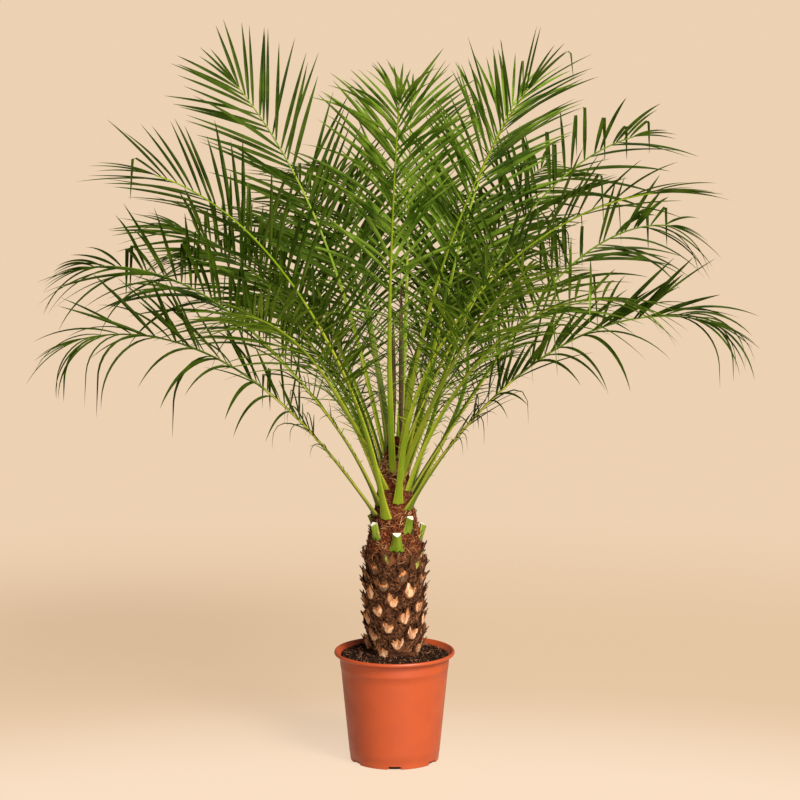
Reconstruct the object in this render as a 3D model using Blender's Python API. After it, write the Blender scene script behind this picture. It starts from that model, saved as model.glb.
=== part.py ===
"""A Canary Island date palm in a round nursery pot.

The pot stands on Z = 0 with its axis on the Z axis, in metres, and +Z is up.
Four kinds of solid make it up: the pot, the soil in it, the trunk with its cut
leaf bases and unopened spears, and the fronds. A frond is a thin blade, cut to
its rib between the leaflets. One that bends far over is split at the bend, so
its outer part is a solid of its own. Headings are degrees round the Z axis,
with 0 along +X and 90 along +Y.
"""

import math
import random
from collections import namedtuple

import bmesh
import bpy
from mathutils import Quaternion, Vector
from mathutils.bvhtree import BVHTree

GAP = 0.0004  # between solids that touch on the real plant

# Pot
POT_SIDES = 48
POT_HEIGHT = 0.296
POT_FOOT_RADIUS = 0.1174
POT_NECK_RADIUS = 0.146
POT_WALL = 0.0028
POT_FLOOR = 0.004
RIM_RADIUS = 0.160
RIM_DEPTH = 0.011
RIM_MOUTH_RADIUS = 0.149
RIM_ROUND = 0.0035
FOOT_BAND = 0.022
LEDGE_HEIGHT = 0.249
LEDGE_STEP = 0.0006
NOTCHES = 6
NOTCH_WIDTH = 0.033
NOTCH_HEIGHT = 0.009
NOTCH_DEPTH = 0.011
FIRST_NOTCH = -90.0

# Soil
SOIL_EDGE = 0.284
SOIL_TOP = 0.293
SOIL_TOP_RADIUS = 0.090
SOIL_SHOULDER = (0.120, 0.290)

# Trunk: a core with a spiral of cut leaf bases, and above them one of green stubs
TRUNK_SIDES = 24
TRUNK_FOOT = SOIL_TOP + GAP
TRUNK_PROFILE = (
    (TRUNK_FOOT, 0.063),
    (0.340, 0.069),
    (0.450, 0.073),
    (0.560, 0.072),
    (0.620, 0.061),
    (0.680, 0.047),
    (0.750, 0.036),
    (0.800, 0.027),
    (0.845, 0.019),
    (0.870, 0.012),
)
SPIRAL_TURN = -137.5  # from one leaf base to the next one up
BOOT_RISE = 0.0054
BOOT_START = (0.452, -90.0)  # a height, and the heading of the leaf base there
BOOT_HEIGHTS = (0.311, 0.578)  # the lowest and the highest
BOOT_WIDTHS = (0.044, 0.032)  # at its root and at its cut top
BOOT_LENGTH = 0.034
BOOT_DEPTH = 0.014
STUB_RISE = 0.009
STUB_START = (0.588, -85.0)
STUBS = 8
STUB_WIDTHS = (0.040, 0.025)
STUB_LENGTH = 0.046
STUB_DEPTH = 0.015
BASE_SINK = 0.008  # how deep a leaf base is rooted in the core
BASE_BELOW = 0.42  # how far its root reaches below its middle, as a share of its length
BASE_ABOVE = 0.62
BASE_PROUD = 0.75  # how far its top stands off the core, as a share of its depth
CUT_SLOPE = 37.0  # how far the cut top slopes down outwards
FOOT_CLEAR = 0.003  # between the lowest leaf bases and the trunk's flat foot

# Spears: leaves that have not opened, upright in the heart
SPEARS = 3
SPEAR_LENGTH = 0.44
SPEAR_SHORTER = 0.12  # each next one, as a share of the longest
SPEAR_WIDTH = 0.016
SPEAR_OUTLINE = ((0.0, 0.5), (0.12, 1.0), (0.6, 0.7), (1.0, 0.12))
SPEAR_SIDES = 5
SPEAR_SPREAD = 0.0096
SPEAR_LEAN = 3.0
FIRST_SPEAR = 20.0

# Fronds
LEAF_START = 0.29  # shares of a frond's reach
RIB_END = 0.87
SWING_END = 0.45
LEAFLET_LENGTH = 0.285
LEAFLET_THICKNESS = 0.003
LEAFLET_LENGTHS = ((0.0, 0.62), (0.2, 0.95), (0.35, 1.0), (0.75, 1.0), (1.0, 0.72))
LEAFLET_ANGLES = ((0.0, 60.0), (0.3, 50.0), (0.75, 43.0), (0.92, 33.0), (1.0, 18.0))
LEAFLET_LIFT = 16.0
LEAFLET_STEPS = 8  # along one leaflet's curve
LEAFLET_TRIES = (  # a share of the length and an extra lift, until one clears the others
    (1.0, 0.0),
    (1.0, 9.0),
    (1.0, -9.0),
    (0.85, 4.0),
    (0.7, -4.0),
    (0.55, 0.0),
)
LEAFLET_TURNS = 3  # every frond gets a third of its leaflets in turn
CLOSED_BY_DROOP = 0.004  # how much each degree of droop closes the leaflets
TIP_STIFFNESS = 0.25  # share of the droop that the last leaflets lack
UPRIGHT_SAG = 0.3  # share of its droop that an upright leaflet shows
LEVEL_SAG = 0.8  # what a level one shows besides
PAIRS_STRAIGHT = 20
PAIRS_BENT = 18
BENT_OVER = 30.0  # a leaflet that droops more than this has a joint halfway
BENT_FULLNESS = 0.40  # half a bent leaflet's width at its joint, as a share of its room
SPLIT_OVER = 78.0  # a frond that bends more than this is split
SPLIT_AT = 0.57
RIB_WIDTH = ((0.0, 0.016), (0.14, 0.0135), (0.30, 0.011), (0.60, 0.0075), (1.0, 0.004))
FOOT_FLARE = ((0.66, 0.015), (0.80, 0.0))  # a foot's extra width, by its height on the trunk
FLARE_END = 0.06
RIB_DEPTH = ((0.0, 0.011), (0.14, 0.010), (0.30, 0.008), (0.60, 0.006), (1.0, 0.004))
RIB_STATIONS = (0.0, 0.04, 0.09, 0.15, 0.22)  # below the first leaflet
CURVE_STEPS = 80
ROLL_END = 0.6
SEAT_SHARES = (0.0, 0.01, 0.02, 0.03, 0.04, 0.065, 0.09)  # where a foot may touch the trunk
SEAT_TRIES = 60
SEAT_START = 0.05  # how far off the trunk the search for a foot's place starts
CLEAR = 0.0012  # kept between a leaflet and any other frond

Frond = namedtuple("Frond", "base base_heading heading rise dip curl reach roll droop")
# base: height of the foot; rise, dip: degrees above level at the foot and the tip;
# curl: where the bend lies, later for more; roll: turn about the rib; droop: of the leaflets
FRONDS = (
    Frond(0.664, -113, -152, 66, -4, 2.6, 1.38, 32, 16),
    Frond(0.668, 204, 182, 54, -36, 2.0, 1.10, -18, 62),
    Frond(0.672, 112, 118, 56, -36, 1.7, 1.16, 20, 60),
    Frond(0.680, 60, 76, 55, -34, 1.6, 1.18, -20, 60),
    Frond(0.686, -45, -5, 53, -43, 2.3, 1.17, 18, 62),
    Frond(0.696, -146, 148, 64, -24, 1.35, 1.32, -30, 35),
    Frond(0.704, -79, -18, 70, -8, 1.75, 1.36, -22, 20),
    Frond(0.700, 20, 97, 60, -30, 1.5, 1.20, 15, 50),
    Frond(0.712, 130, 130, 62, -22, 1.4, 1.26, -20, 40),
    Frond(0.735, -36, -56, 70, -8, 0.95, 1.22, -20, 35),
    Frond(0.728, 4, 44, 58, -29, 1.85, 1.37, 34, 40),
    Frond(0.726, 84, 60, 62, -20, 1.4, 1.27, 20, 40),
    Frond(0.740, -126, -112, 58, 5, 1.0, 1.12, 15, 30),
    Frond(0.744, 165, 140, 68, -8, 1.4, 1.14, -25, 25),
    Frond(0.764, -63, -72, 61, 19, 0.6, 1.23, -15, 25),
    Frond(0.750, 50, 84, 68, -8, 1.3, 1.26, 15, 30),
    Frond(0.762, 105, 112, 68, -5, 1.4, 1.27, -15, 25),
    Frond(0.778, 22, 66, 68, -5, 1.5, 1.28, 25, 25),
    Frond(0.790, 152, 108, 74, -20, 1.05, 1.28, -15, 25),
    Frond(0.786, -98, -86, 77, 34, 1.55, 1.29, 0, 42),
    Frond(0.819, -60, -43, 74, 41, 1.8, 1.255, -25, 22),
    Frond(0.800, 75, 88, 76, 22, 1.5, 1.26, 10, 16),
    Frond(0.806, 25, 62, 75, 24, 1.5, 1.27, 20, 16),
    Frond(0.841, 115, 98, 71, -12, 1.2, 1.27, -10, 20),
    Frond(0.822, 153, 148, 76, 36, 1.65, 1.23, -48, 10),
    Frond(0.842, -2, 41, 68, -7, 1.6, 1.33, 34, 22),
)

TERRACOTTA = (0.62, 0.19, 0.085)
SOIL_BROWN = (0.035, 0.022, 0.015)
BARK_BROWN = (0.14, 0.07, 0.04)
LEAF_GREEN = (0.085, 0.20, 0.03)
SPEAR_GREEN = (0.20, 0.20, 0.06)


def finish(name, colour, roughness):
    """A plain Principled material."""
    material = bpy.data.materials.new(name)
    material.use_nodes = True
    shader = material.node_tree.nodes["Principled BSDF"]
    shader.inputs["Base Color"].default_value = (*colour, 1.0)
    shader.inputs["Roughness"].default_value = roughness
    shader.inputs["Metallic"].default_value = 0.0
    return material


def solid(name, points, faces, material=None, smooth=None):
    """A mesh object from points and faces, its faces turned outwards."""
    mesh = bpy.data.meshes.new(name)
    mesh.from_pydata([tuple(p) for p in points], [], faces)
    bm = bmesh.new()
    bm.from_mesh(mesh)
    bmesh.ops.recalc_face_normals(bm, faces=bm.faces)
    bm.to_mesh(mesh)
    bm.free()
    if smooth is not None:
        mesh.shade_smooth()
        mesh.set_sharp_from_angle(angle=math.radians(smooth))
    made = bpy.data.objects.new(name, mesh)
    bpy.context.scene.collection.objects.link(made)
    if material is not None:
        mesh.materials.append(material)
    return made


def turned(name, profile, sides, material):
    """A closed solid turned about the Z axis from (radius, height) points.

    The profile runs from the axis below to the axis above, and both its end
    points lie on the axis.
    """
    points, faces, rings = [], [], []
    for radius, height in profile:
        if radius == 0.0:
            rings.append([len(points)] * sides)
            points.append(Vector((0.0, 0.0, height)))
            continue
        rings.append(list(range(len(points), len(points) + sides)))
        for k in range(sides):
            points.append(polar(radius, 360.0 * k / sides, height))
    for low, high in zip(rings, rings[1:]):
        for k in range(sides):
            n = (k + 1) % sides
            corners = [low[k], low[n], high[n], high[k]]
            faces.append(list(dict.fromkeys(corners)))
    return solid(name, points, faces, material, smooth=35.0)


def polar(radius, heading, height):
    """The point at a radius and heading about the Z axis."""
    angle = math.radians(heading)
    return Vector((radius * math.cos(angle), radius * math.sin(angle), height))


def along(share, steps):
    """Reads a list of (share, value) steps, with straight runs between them."""
    for (a, low), (b, high) in zip(steps, steps[1:]):
        if share <= b:
            return low + (high - low) * max(0.0, share - a) / (b - a)
    return steps[-1][1]


def wall_radius(height):
    """The pot's outer radius at a height, below the rim."""
    full = POT_HEIGHT - RIM_DEPTH
    return POT_FOOT_RADIUS + (POT_NECK_RADIUS - POT_FOOT_RADIUS) * height / full


def inner_radius(height):
    """The pot's inner radius at a height."""
    return wall_radius(height) - POT_WALL


def apply_union(target, pieces, name):
    """Joins loose solids to a target by one Boolean union, and removes them."""
    group = bpy.data.collections.new(name)
    bpy.context.scene.collection.children.link(group)
    for piece in pieces:
        bpy.context.scene.collection.objects.unlink(piece)
        group.objects.link(piece)
    join = target.modifiers.new(name, "BOOLEAN")
    join.operation = "UNION"
    join.operand_type = "COLLECTION"
    join.collection = group
    join.solver = "EXACT"
    graph = bpy.context.evaluated_depsgraph_get()
    joined = bpy.data.meshes.new_from_object(target.evaluated_get(graph))
    target.modifiers.remove(join)
    target.data = joined
    for piece in pieces:
        bpy.data.objects.remove(piece)
    bpy.data.collections.remove(group)


def make_pot(material):
    """The pot: tapered wall, ledge, rolled rim and drain notches in its foot."""
    under_rim = POT_HEIGHT - RIM_DEPTH
    profile = (
        (0.0, 0.0),
        (POT_FOOT_RADIUS, 0.0),
        (wall_radius(FOOT_BAND), FOOT_BAND),
        (wall_radius(FOOT_BAND) + LEDGE_STEP, FOOT_BAND + LEDGE_STEP),
        (wall_radius(LEDGE_HEIGHT), LEDGE_HEIGHT),
        (wall_radius(LEDGE_HEIGHT) + LEDGE_STEP, LEDGE_HEIGHT + LEDGE_STEP),
        (POT_NECK_RADIUS + LEDGE_STEP, under_rim),
        (RIM_RADIUS - RIM_ROUND, under_rim),
        (RIM_RADIUS, under_rim + RIM_ROUND),
        (RIM_RADIUS, POT_HEIGHT - RIM_ROUND),
        (RIM_RADIUS - RIM_ROUND, POT_HEIGHT),
        (RIM_MOUTH_RADIUS + RIM_ROUND, POT_HEIGHT),
        (RIM_MOUTH_RADIUS, POT_HEIGHT - RIM_ROUND),
        (inner_radius(SOIL_EDGE), SOIL_EDGE),
        (inner_radius(POT_FLOOR), POT_FLOOR),
        (0.0, POT_FLOOR),
    )
    pot = turned("pot", profile, POT_SIDES, material)
    for k in range(NOTCHES):
        heading = FIRST_NOTCH + 360.0 * k / NOTCHES
        bpy.ops.mesh.primitive_cube_add(size=1.0, location=polar(POT_FOOT_RADIUS, heading, 0.0))
        cutter = bpy.context.object
        cutter.name = f"notch_cutter_{k + 1}"
        cutter.scale = (NOTCH_DEPTH * 2.0, NOTCH_WIDTH, NOTCH_HEIGHT * 2.0)
        cutter.rotation_euler.z = math.radians(heading)
        cutter.hide_render = True
        cutter.display_type = "WIRE"
        cut = pot.modifiers.new(f"notch_{k + 1}", "BOOLEAN")
        cut.operation = "DIFFERENCE"
        cut.object = cutter
        cut.solver = "EXACT"
    return pot


def make_soil(material):
    """The soil: it fills the pot and swells a little round the trunk."""
    low = POT_FLOOR + GAP
    profile = (
        (0.0, low),
        (inner_radius(low) - GAP, low),
        (inner_radius(SOIL_EDGE) - GAP, SOIL_EDGE),
        SOIL_SHOULDER,
        (SOIL_TOP_RADIUS, SOIL_TOP),
        (0.0, SOIL_TOP),
    )
    return turned("soil", profile, POT_SIDES, material)


def trunk_radius(height):
    """The core's radius at a height."""
    return along(height, TRUNK_PROFILE)


def make_base(height, heading, widths, length, depth):
    """One leaf base: a wedge that leaves the core upwards and outwards.

    Its widths are at the root and at the cut top, which slopes down outwards.
    """
    out, up = polar(1.0, heading, 0.0), Vector((0.0, 0.0, 1.0))
    side = up.cross(out)
    root = out * (trunk_radius(height) - BASE_SINK) + up * height
    points = []
    for across in (-0.5, 0.5):
        for above in (-BASE_BELOW, BASE_BELOW):
            corner = root + side * (across * widths[0]) + up * (above * length)
            corner.z = max(corner.z, TRUNK_FOOT + FOOT_CLEAR)
            points.append(corner)
    top = height + length * BASE_ABOVE
    middle = out * (trunk_radius(top) + depth * BASE_PROUD) + up * top
    slope = math.radians(CUT_SLOPE)
    half = (out * math.cos(slope) - up * math.sin(slope)) * (depth * 0.5)
    for across in (-0.5, 0.5):
        for outer in (1.0, -1.0):
            points.append(middle + side * (across * widths[1]) + half * outer)
    faces = [(0, 1, 3, 2), (4, 6, 7, 5), (0, 2, 6, 4), (1, 5, 7, 3), (0, 4, 5, 1), (2, 3, 7, 6)]
    return solid("leaf_base", points, faces)


def make_trunk(material):
    """The trunk: a turned core with its leaf bases and stubs fused to it."""
    profile = [(0.0, TRUNK_FOOT)]
    profile += [(radius, height) for height, radius in TRUNK_PROFILE]
    profile.append((0.0, TRUNK_PROFILE[-1][0]))
    trunk = turned("trunk", profile, TRUNK_SIDES, material)
    first = math.ceil((BOOT_HEIGHTS[0] - BOOT_START[0]) / BOOT_RISE)
    last = math.floor((BOOT_HEIGHTS[1] - BOOT_START[0]) / BOOT_RISE)
    bases = []
    for k in range(first, last + 1):
        height = BOOT_START[0] + BOOT_RISE * k
        heading = BOOT_START[1] + SPIRAL_TURN * k
        bases.append(make_base(height, heading, BOOT_WIDTHS, BOOT_LENGTH, BOOT_DEPTH))
    for k in range(STUBS):
        height = STUB_START[0] + STUB_RISE * k
        heading = STUB_START[1] + SPIRAL_TURN * k
        bases.append(make_base(height, heading, STUB_WIDTHS, STUB_LENGTH, STUB_DEPTH))
    apply_union(trunk, bases, "leaf_bases")
    return trunk


def make_spears(material):
    """The spears: slim upright blades round the top of the trunk."""
    foot = TRUNK_PROFILE[-1][0] + GAP
    spears = []
    for k in range(SPEARS):
        heading = FIRST_SPEAR + 360.0 * k / SPEARS
        lean = Quaternion(polar(1.0, heading + 90.0, 0.0), math.radians(SPEAR_LEAN))
        start = polar(SPEAR_SPREAD, heading, foot)
        length = SPEAR_LENGTH * (1.0 - SPEAR_SHORTER * k)
        points = []
        for share, width in SPEAR_OUTLINE:
            for corner in range(SPEAR_SIDES):
                flat = polar(SPEAR_WIDTH * 0.5 * width, 360.0 * corner / SPEAR_SIDES + heading, 0.0)
                points.append(start + flat + lean @ Vector((0.0, 0.0, length * share)))
        faces = [tuple(range(SPEAR_SIDES)), tuple(range(len(points) - SPEAR_SIDES, len(points)))]
        for ring in range(len(SPEAR_OUTLINE) - 1):
            low, high = ring * SPEAR_SIDES, (ring + 1) * SPEAR_SIDES
            for corner in range(SPEAR_SIDES):
                n = (corner + 1) % SPEAR_SIDES
                faces.append((low + corner, low + n, high + n, high + corner))
        spears.append(solid(f"spear_{k + 1}", points, faces, material))
    return spears


class Rib:
    """The curve of one frond's rib, with its own side and upper directions."""

    def __init__(self, frond, foot_radius):
        self.frond = frond
        self.points, self.tangents = [], []
        spot = polar(foot_radius, frond.base_heading, frond.base)
        swing = (frond.heading - frond.base_heading + 180.0) % 360.0 - 180.0
        for k in range(CURVE_STEPS + 1):
            share = k / CURVE_STEPS
            turn = min(1.0, share / SWING_END)
            turn = turn * turn * (3.0 - 2.0 * turn)
            tilt = math.radians(frond.rise + (frond.dip - frond.rise) * share**frond.curl)
            flat = polar(math.cos(tilt), frond.base_heading + swing * turn, 0.0)
            tangent = flat + Vector((0.0, 0.0, math.sin(tilt)))
            self.points.append(spot.copy())
            self.tangents.append(tangent)
            spot = spot + tangent * (frond.reach / CURVE_STEPS)

    def frame(self, share):
        """Point, tangent, side and upper direction at a share of the reach."""
        spot = min(share, 1.0) * CURVE_STEPS
        k = min(int(spot), CURVE_STEPS - 1)
        point = self.points[k].lerp(self.points[k + 1], spot - k)
        tangent = self.tangents[k].lerp(self.tangents[k + 1], spot - k).normalized()
        side = tangent.cross(Vector((0.0, 0.0, 1.0))).normalized()
        rolled = min(1.0, share / ROLL_END)
        roll = math.radians(self.frond.roll * rolled * rolled * (3.0 - 2.0 * rolled))
        side = Quaternion(tangent, roll) @ side
        return point, tangent, side, side.cross(tangent)

    def width(self, share):
        """The rib's width at a share of the reach, with the flare of its foot."""
        flare = along(self.frond.base, FOOT_FLARE) * max(0.0, 1.0 - share / FLARE_END) ** 2
        return along(share, RIB_WIDTH) + flare

    def ring(self, share):
        """The rib's four corners at a share of the reach."""
        point, _, side, upper = self.frame(share)
        half_width = side * (self.width(share) * 0.5)
        half_depth = upper * (along(share, RIB_DEPTH) * 0.5)
        return [
            point - half_width + half_depth,
            point - half_width - half_depth,
            point + half_width - half_depth,
            point + half_width + half_depth,
        ]


def blade_place(share):
    """Where a share of the reach lies on the blade, 0 at its foot and 1 at the rib's end."""
    return (share - LEAF_START) / (RIB_END - LEAF_START)


def leaflet_length(place):
    """A leaflet's length at its place along the blade, 0 at the foot and 1 at the end."""
    return LEAFLET_LENGTH * along(place, LEAFLET_LENGTHS)


def leaflet_angle(place, droop):
    """The angle between a leaflet and the rib at its place along the blade."""
    return math.radians(along(place, LEAFLET_ANGLES)) * (1.0 - CLOSED_BY_DROOP * droop)


def leaflet_path(rib, share, hand, length, lift):
    """Three places along one leaflet, each with its run and the blade's upper side."""
    place = blade_place(share)
    point, tangent, side, upper = rib.frame(share)
    angle = leaflet_angle(place, rib.frond.droop)
    raised = side * (hand * math.cos(math.radians(lift))) + upper * math.sin(math.radians(lift))
    run = tangent * math.cos(angle) + raised * math.sin(angle)
    flat_side = upper.cross(run).normalized()
    down = Vector((0.0, 0.0, -1.0))
    axis = run.cross(down).normalized()
    sag = math.radians(rib.frond.droop) * (1.0 - TIP_STIFFNESS * place)
    sag *= UPRIGHT_SAG + LEVEL_SAG * Vector((run.x, run.y)).length
    path, spot = [], point
    for k in range(LEAFLET_STEPS + 1):
        bent = Quaternion(axis, min(sag * k / LEAFLET_STEPS, run.angle(down))) @ run
        if k in (0, LEAFLET_STEPS // 2, LEAFLET_STEPS):
            path.append((spot.copy(), bent, flat_side))
        spot = spot + bent * (length / LEAFLET_STEPS)
    return path


def leaflet_body(rib, low, high, hand, bent, length, lift, swell=0.0):
    """The corners of one leaflet beyond its root on the rib.

    The root is the rib's own side between the stations low and high. A swell
    above 0 makes a fatter copy, for testing what lies near.
    """
    path = leaflet_path(rib, (low + high) * 0.5, hand, length, lift)
    rings = []
    spread = (rib.frame(high)[0] - rib.frame(low)[0]).length
    if bent:
        spot, run, flat = path[1]
        across = flat if flat.dot(rib.frame(low)[1]) > 0.0 else -flat
        above = run.cross(across).normalized()
        if above.dot(rib.frame(low)[3]) < 0.0:
            above = -above
        angle = leaflet_angle(blade_place(low), rib.frond.droop)
        half = across * (spread * math.sin(angle) * BENT_FULLNESS + swell)
        thick = above * (LEAFLET_THICKNESS * 0.5 + swell)
        rings.append([spot - half + thick, spot - half - thick, spot + half - thick, spot + half + thick])
    spot, run, flat = path[2]
    above = run.cross(flat).normalized()
    if above.dot(rib.frame(low)[3]) < 0.0:
        above = -above
    end = spot + run * swell
    thick = above * (LEAFLET_THICKNESS * 0.5 + swell)
    rings.append([end + thick, end - thick])
    return rings


def leaflet_faces(root, rings):
    """The faces of a leaflet, from its root's four corners to its tip's two.

    Corners run: upper and lower at the side towards the foot of the frond,
    then lower and upper at the side towards its tip.
    """
    faces, ring = [], list(root)
    for nxt in rings[:-1]:
        for k in range(4):
            n = (k + 1) % 4
            faces.append((ring[k], ring[n], nxt[n], nxt[k]))
        ring = nxt
    upper, lower = rings[-1]
    faces.append((ring[0], ring[1], lower, upper))
    faces.append((ring[1], ring[2], lower))
    faces.append((ring[2], ring[3], upper, lower))
    faces.append((ring[3], ring[0], upper))
    return faces


class Blade:
    """One frond: its rib, its stations and the leaflets that it has room for."""

    def __init__(self, number, frond, trunk_tree):
        self.number = number
        self.frond = frond
        self.bent = frond.droop > BENT_OVER
        self.pairs = PAIRS_BENT if self.bent else PAIRS_STRAIGHT
        self.rib = Rib(frond, self.seat(frond, trunk_tree))
        step = (RIB_END - LEAF_START) / self.pairs
        blade = [LEAF_START + step * k for k in range(self.pairs + 1)]
        self.stations = list(RIB_STATIONS) + blade
        self.first = len(RIB_STATIONS)
        self.leaflets = {}
        self.trees = [self.rib_tree()]

    @staticmethod
    def seat(frond, trunk_tree):
        """The radius at which the frond's foot lies GAP clear of the trunk."""
        radius = trunk_radius(frond.base) + SEAT_START
        for _ in range(SEAT_TRIES):
            rib = Rib(frond, radius)
            nearest = SEAT_START
            for share in SEAT_SHARES:
                ring = rib.ring(share)
                for a, b in zip(ring, ring[1:] + ring[:1]):
                    for spot in (a, a.lerp(b, 0.25), a.lerp(b, 0.5), a.lerp(b, 0.75)):
                        nearest = min(nearest, trunk_tree.find_nearest(spot)[3])
            if nearest < GAP * 1.5:
                break
            radius -= (nearest - GAP) * 0.8
        return radius

    def rib_tree(self):
        """A search tree of the bare rib."""
        points, faces = [], []
        for share in self.stations:
            points += self.rib.ring(share)
        for k in range(len(self.stations) - 1):
            for c in range(4):
                n = (c + 1) % 4
                faces.append((4 * k + c, 4 * k + n, 4 * k + 4 + n, 4 * k + 4 + c))
        return BVHTree.FromPolygons(points, faces)

    def root(self, segment, hand, swell=0.0):
        """The rib's side that a leaflet grows from."""
        low, high = self.stations[segment], self.stations[segment + 1]
        a, b = self.rib.ring(low), self.rib.ring(high)
        corners = [a[0], a[1], b[1], b[0]] if hand < 0 else [a[3], a[2], b[2], b[3]]
        if swell:
            lift = self.rib.frame(low)[3] * swell
            corners = [c + lift * s for c, s in zip(corners, (1.0, -1.0, -1.0, 1.0))]
        return corners

    def leaflet(self, segment, hand, length, lift, swell):
        """The points and faces of one leaflet, made fatter by swell."""
        low, high = self.stations[segment], self.stations[segment + 1]
        rings = leaflet_body(self.rib, low, high, hand, self.bent, length, lift, swell)
        corners = [self.root(segment, hand, swell)] + rings
        points = [p for ring in corners for p in ring]
        numbers, start = [], 0
        for ring in corners:
            numbers.append(list(range(start, start + len(ring))))
            start += len(ring)
        return points, leaflet_faces(numbers[0], numbers[1:])

    def grow(self, turn, others, draws):
        """Adds every leaflet of one turn that clears the others, and keeps their tree."""
        points, faces = [], []
        for segment in range(self.first, len(self.stations) - 1):
            for hand in (-1, 1):
                if (segment + (hand > 0)) % LEAFLET_TURNS != turn:
                    continue
                middle = (self.stations[segment] + self.stations[segment + 1]) * 0.5
                full = leaflet_length(blade_place(middle)) * draws.uniform(0.96, 1.04)
                found = self.fitted(segment, hand, full, others)
                if found is None:
                    continue
                self.leaflets[segment, hand] = found
                start = len(points)
                thin, thin_faces = self.leaflet(segment, hand, *found, 0.0)
                points += thin
                faces += [[start + c for c in face] for face in thin_faces]
        if faces:
            self.trees.append(BVHTree.FromPolygons(points, faces))

    def fitted(self, segment, hand, full, others):
        """The first length and lift at which a leaflet clears the others, or None."""
        for scale, extra in LEAFLET_TRIES:
            length, lift = full * scale, LEAFLET_LIFT + extra
            tree = BVHTree.FromPolygons(*self.leaflet(segment, hand, length, lift, CLEAR))
            if not any(tree.overlap(other) for other in others):
                return length, lift
        return None

    def make(self, name, low, high, material):
        """The closed solid of the stations low to high, with their leaflets."""
        points, faces = [], []
        rings = []
        for k in range(low, high + 1):
            share = self.stations[k]
            if k == low and low > 0:
                share += 1.5 * GAP / self.frond.reach
            rings.append(list(range(len(points), len(points) + 4)))
            points += self.rib.ring(share)
        faces.append(tuple(rings[0]))
        for k in range(low, high):
            a, b = rings[k - low], rings[k - low + 1]
            faces.append((a[0], b[0], b[3], a[3]))
            faces.append((a[1], a[2], b[2], b[1]))
            for hand in (-1, 1):
                root = [a[0], a[1], b[1], b[0]] if hand < 0 else [a[3], a[2], b[2], b[3]]
                if (k, hand) not in self.leaflets:
                    faces.append(tuple(root))
                    continue
                ends = self.stations[k], self.stations[k + 1]
                body = leaflet_body(self.rib, *ends, hand, self.bent, *self.leaflets[k, hand])
                numbered = []
                for ring in body:
                    numbered.append(list(range(len(points), len(points) + len(ring))))
                    points += ring
                faces += leaflet_faces(root, numbered)
        end = rings[-1]
        if high == len(self.stations) - 1:
            point, _, side, upper = self.rib.frame(1.0)
            thick = upper * (LEAFLET_THICKNESS * 0.5)
            tip = [len(points), len(points) + 1]
            points += [point + thick, point - thick]
            faces += leaflet_faces(end, [tip])
        else:
            faces.append(tuple(end))
        return solid(name, points, faces, material)

    def build(self, material):
        """The frond as one solid, or as two where it bends far over."""
        name = f"frond_{self.number:02d}"
        last = len(self.stations) - 1
        if self.frond.rise - self.frond.dip <= SPLIT_OVER:
            return [self.make(name, 0, last, material)]
        cut = min(range(last), key=lambda k: abs(self.stations[k] - SPLIT_AT))
        return [self.make(name, 0, cut, material), self.make(f"{name}_outer", cut, last, material)]


def tree_of_object(thing):
    """A search tree of an object's finished mesh."""
    return BVHTree.FromObject(thing, bpy.context.evaluated_depsgraph_get())


def main():
    """Builds the whole plant."""
    for thing in list(bpy.data.objects):
        bpy.data.objects.remove(thing)
    make_pot(finish("pot_plastic", TERRACOTTA, 0.45))
    make_soil(finish("soil_mix", SOIL_BROWN, 0.95))
    trunk = make_trunk(finish("bark", BARK_BROWN, 0.9))
    spears = make_spears(finish("spear_leaf", SPEAR_GREEN, 0.6))
    leaf = finish("frond_leaf", LEAF_GREEN, 0.5)
    draws = random.Random(7)
    fixed = [tree_of_object(thing) for thing in [trunk, *spears]]
    blades = [Blade(k + 1, frond, fixed[0]) for k, frond in enumerate(FRONDS)]
    for turn in range(LEAFLET_TURNS):
        for blade in blades:
            others = list(fixed)
            for other in blades:
                if other is not blade:
                    others += other.trees
            blade.grow(turn, others, draws)
    for blade in blades:
        blade.build(leaf)


main()
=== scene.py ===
"""The looks of a potted Canary Island date palm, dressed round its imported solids.

Everything is in metres: the pot stands on Z = 0, the trunk is on the Z axis, and -Y is the front.
Fronds grow again here by the same rule as their solids, with the leaflets of a real frond; the
trunk gets its fibre, cut leaf bases and stubs, and the pot and the soil get their fine shapes.
Headings are degrees round the Z axis, with 0 along +X and 90 along +Y.
"""

import logging
import math
import random
from collections.abc import Callable, Iterable, Sequence
from dataclasses import dataclass, field
from enum import Enum

import bmesh
import bpy
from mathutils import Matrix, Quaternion, Vector, noise
from mathutils.bvhtree import BVHTree


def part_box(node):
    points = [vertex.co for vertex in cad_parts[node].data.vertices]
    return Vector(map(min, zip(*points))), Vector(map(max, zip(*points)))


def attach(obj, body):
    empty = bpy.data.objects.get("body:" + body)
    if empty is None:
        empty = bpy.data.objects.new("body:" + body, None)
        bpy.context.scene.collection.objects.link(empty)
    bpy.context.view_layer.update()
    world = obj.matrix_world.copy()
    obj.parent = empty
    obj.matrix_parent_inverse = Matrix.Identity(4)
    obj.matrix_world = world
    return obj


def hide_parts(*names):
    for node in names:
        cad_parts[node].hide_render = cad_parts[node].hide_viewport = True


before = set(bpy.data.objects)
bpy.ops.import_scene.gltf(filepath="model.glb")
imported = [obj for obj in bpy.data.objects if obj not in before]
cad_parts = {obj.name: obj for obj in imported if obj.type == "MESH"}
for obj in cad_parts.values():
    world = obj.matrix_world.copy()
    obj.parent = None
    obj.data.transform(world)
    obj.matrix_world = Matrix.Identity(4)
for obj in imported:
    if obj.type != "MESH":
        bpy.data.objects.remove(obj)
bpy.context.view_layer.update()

Node, Socket, Tree = bpy.types.Node, bpy.types.NodeSocket, bpy.types.NodeTree
Colour = tuple[float, float, float]
Span = tuple[float, float]
Stretch = tuple[float, float, float]
Steps = tuple[Span, ...]
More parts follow.
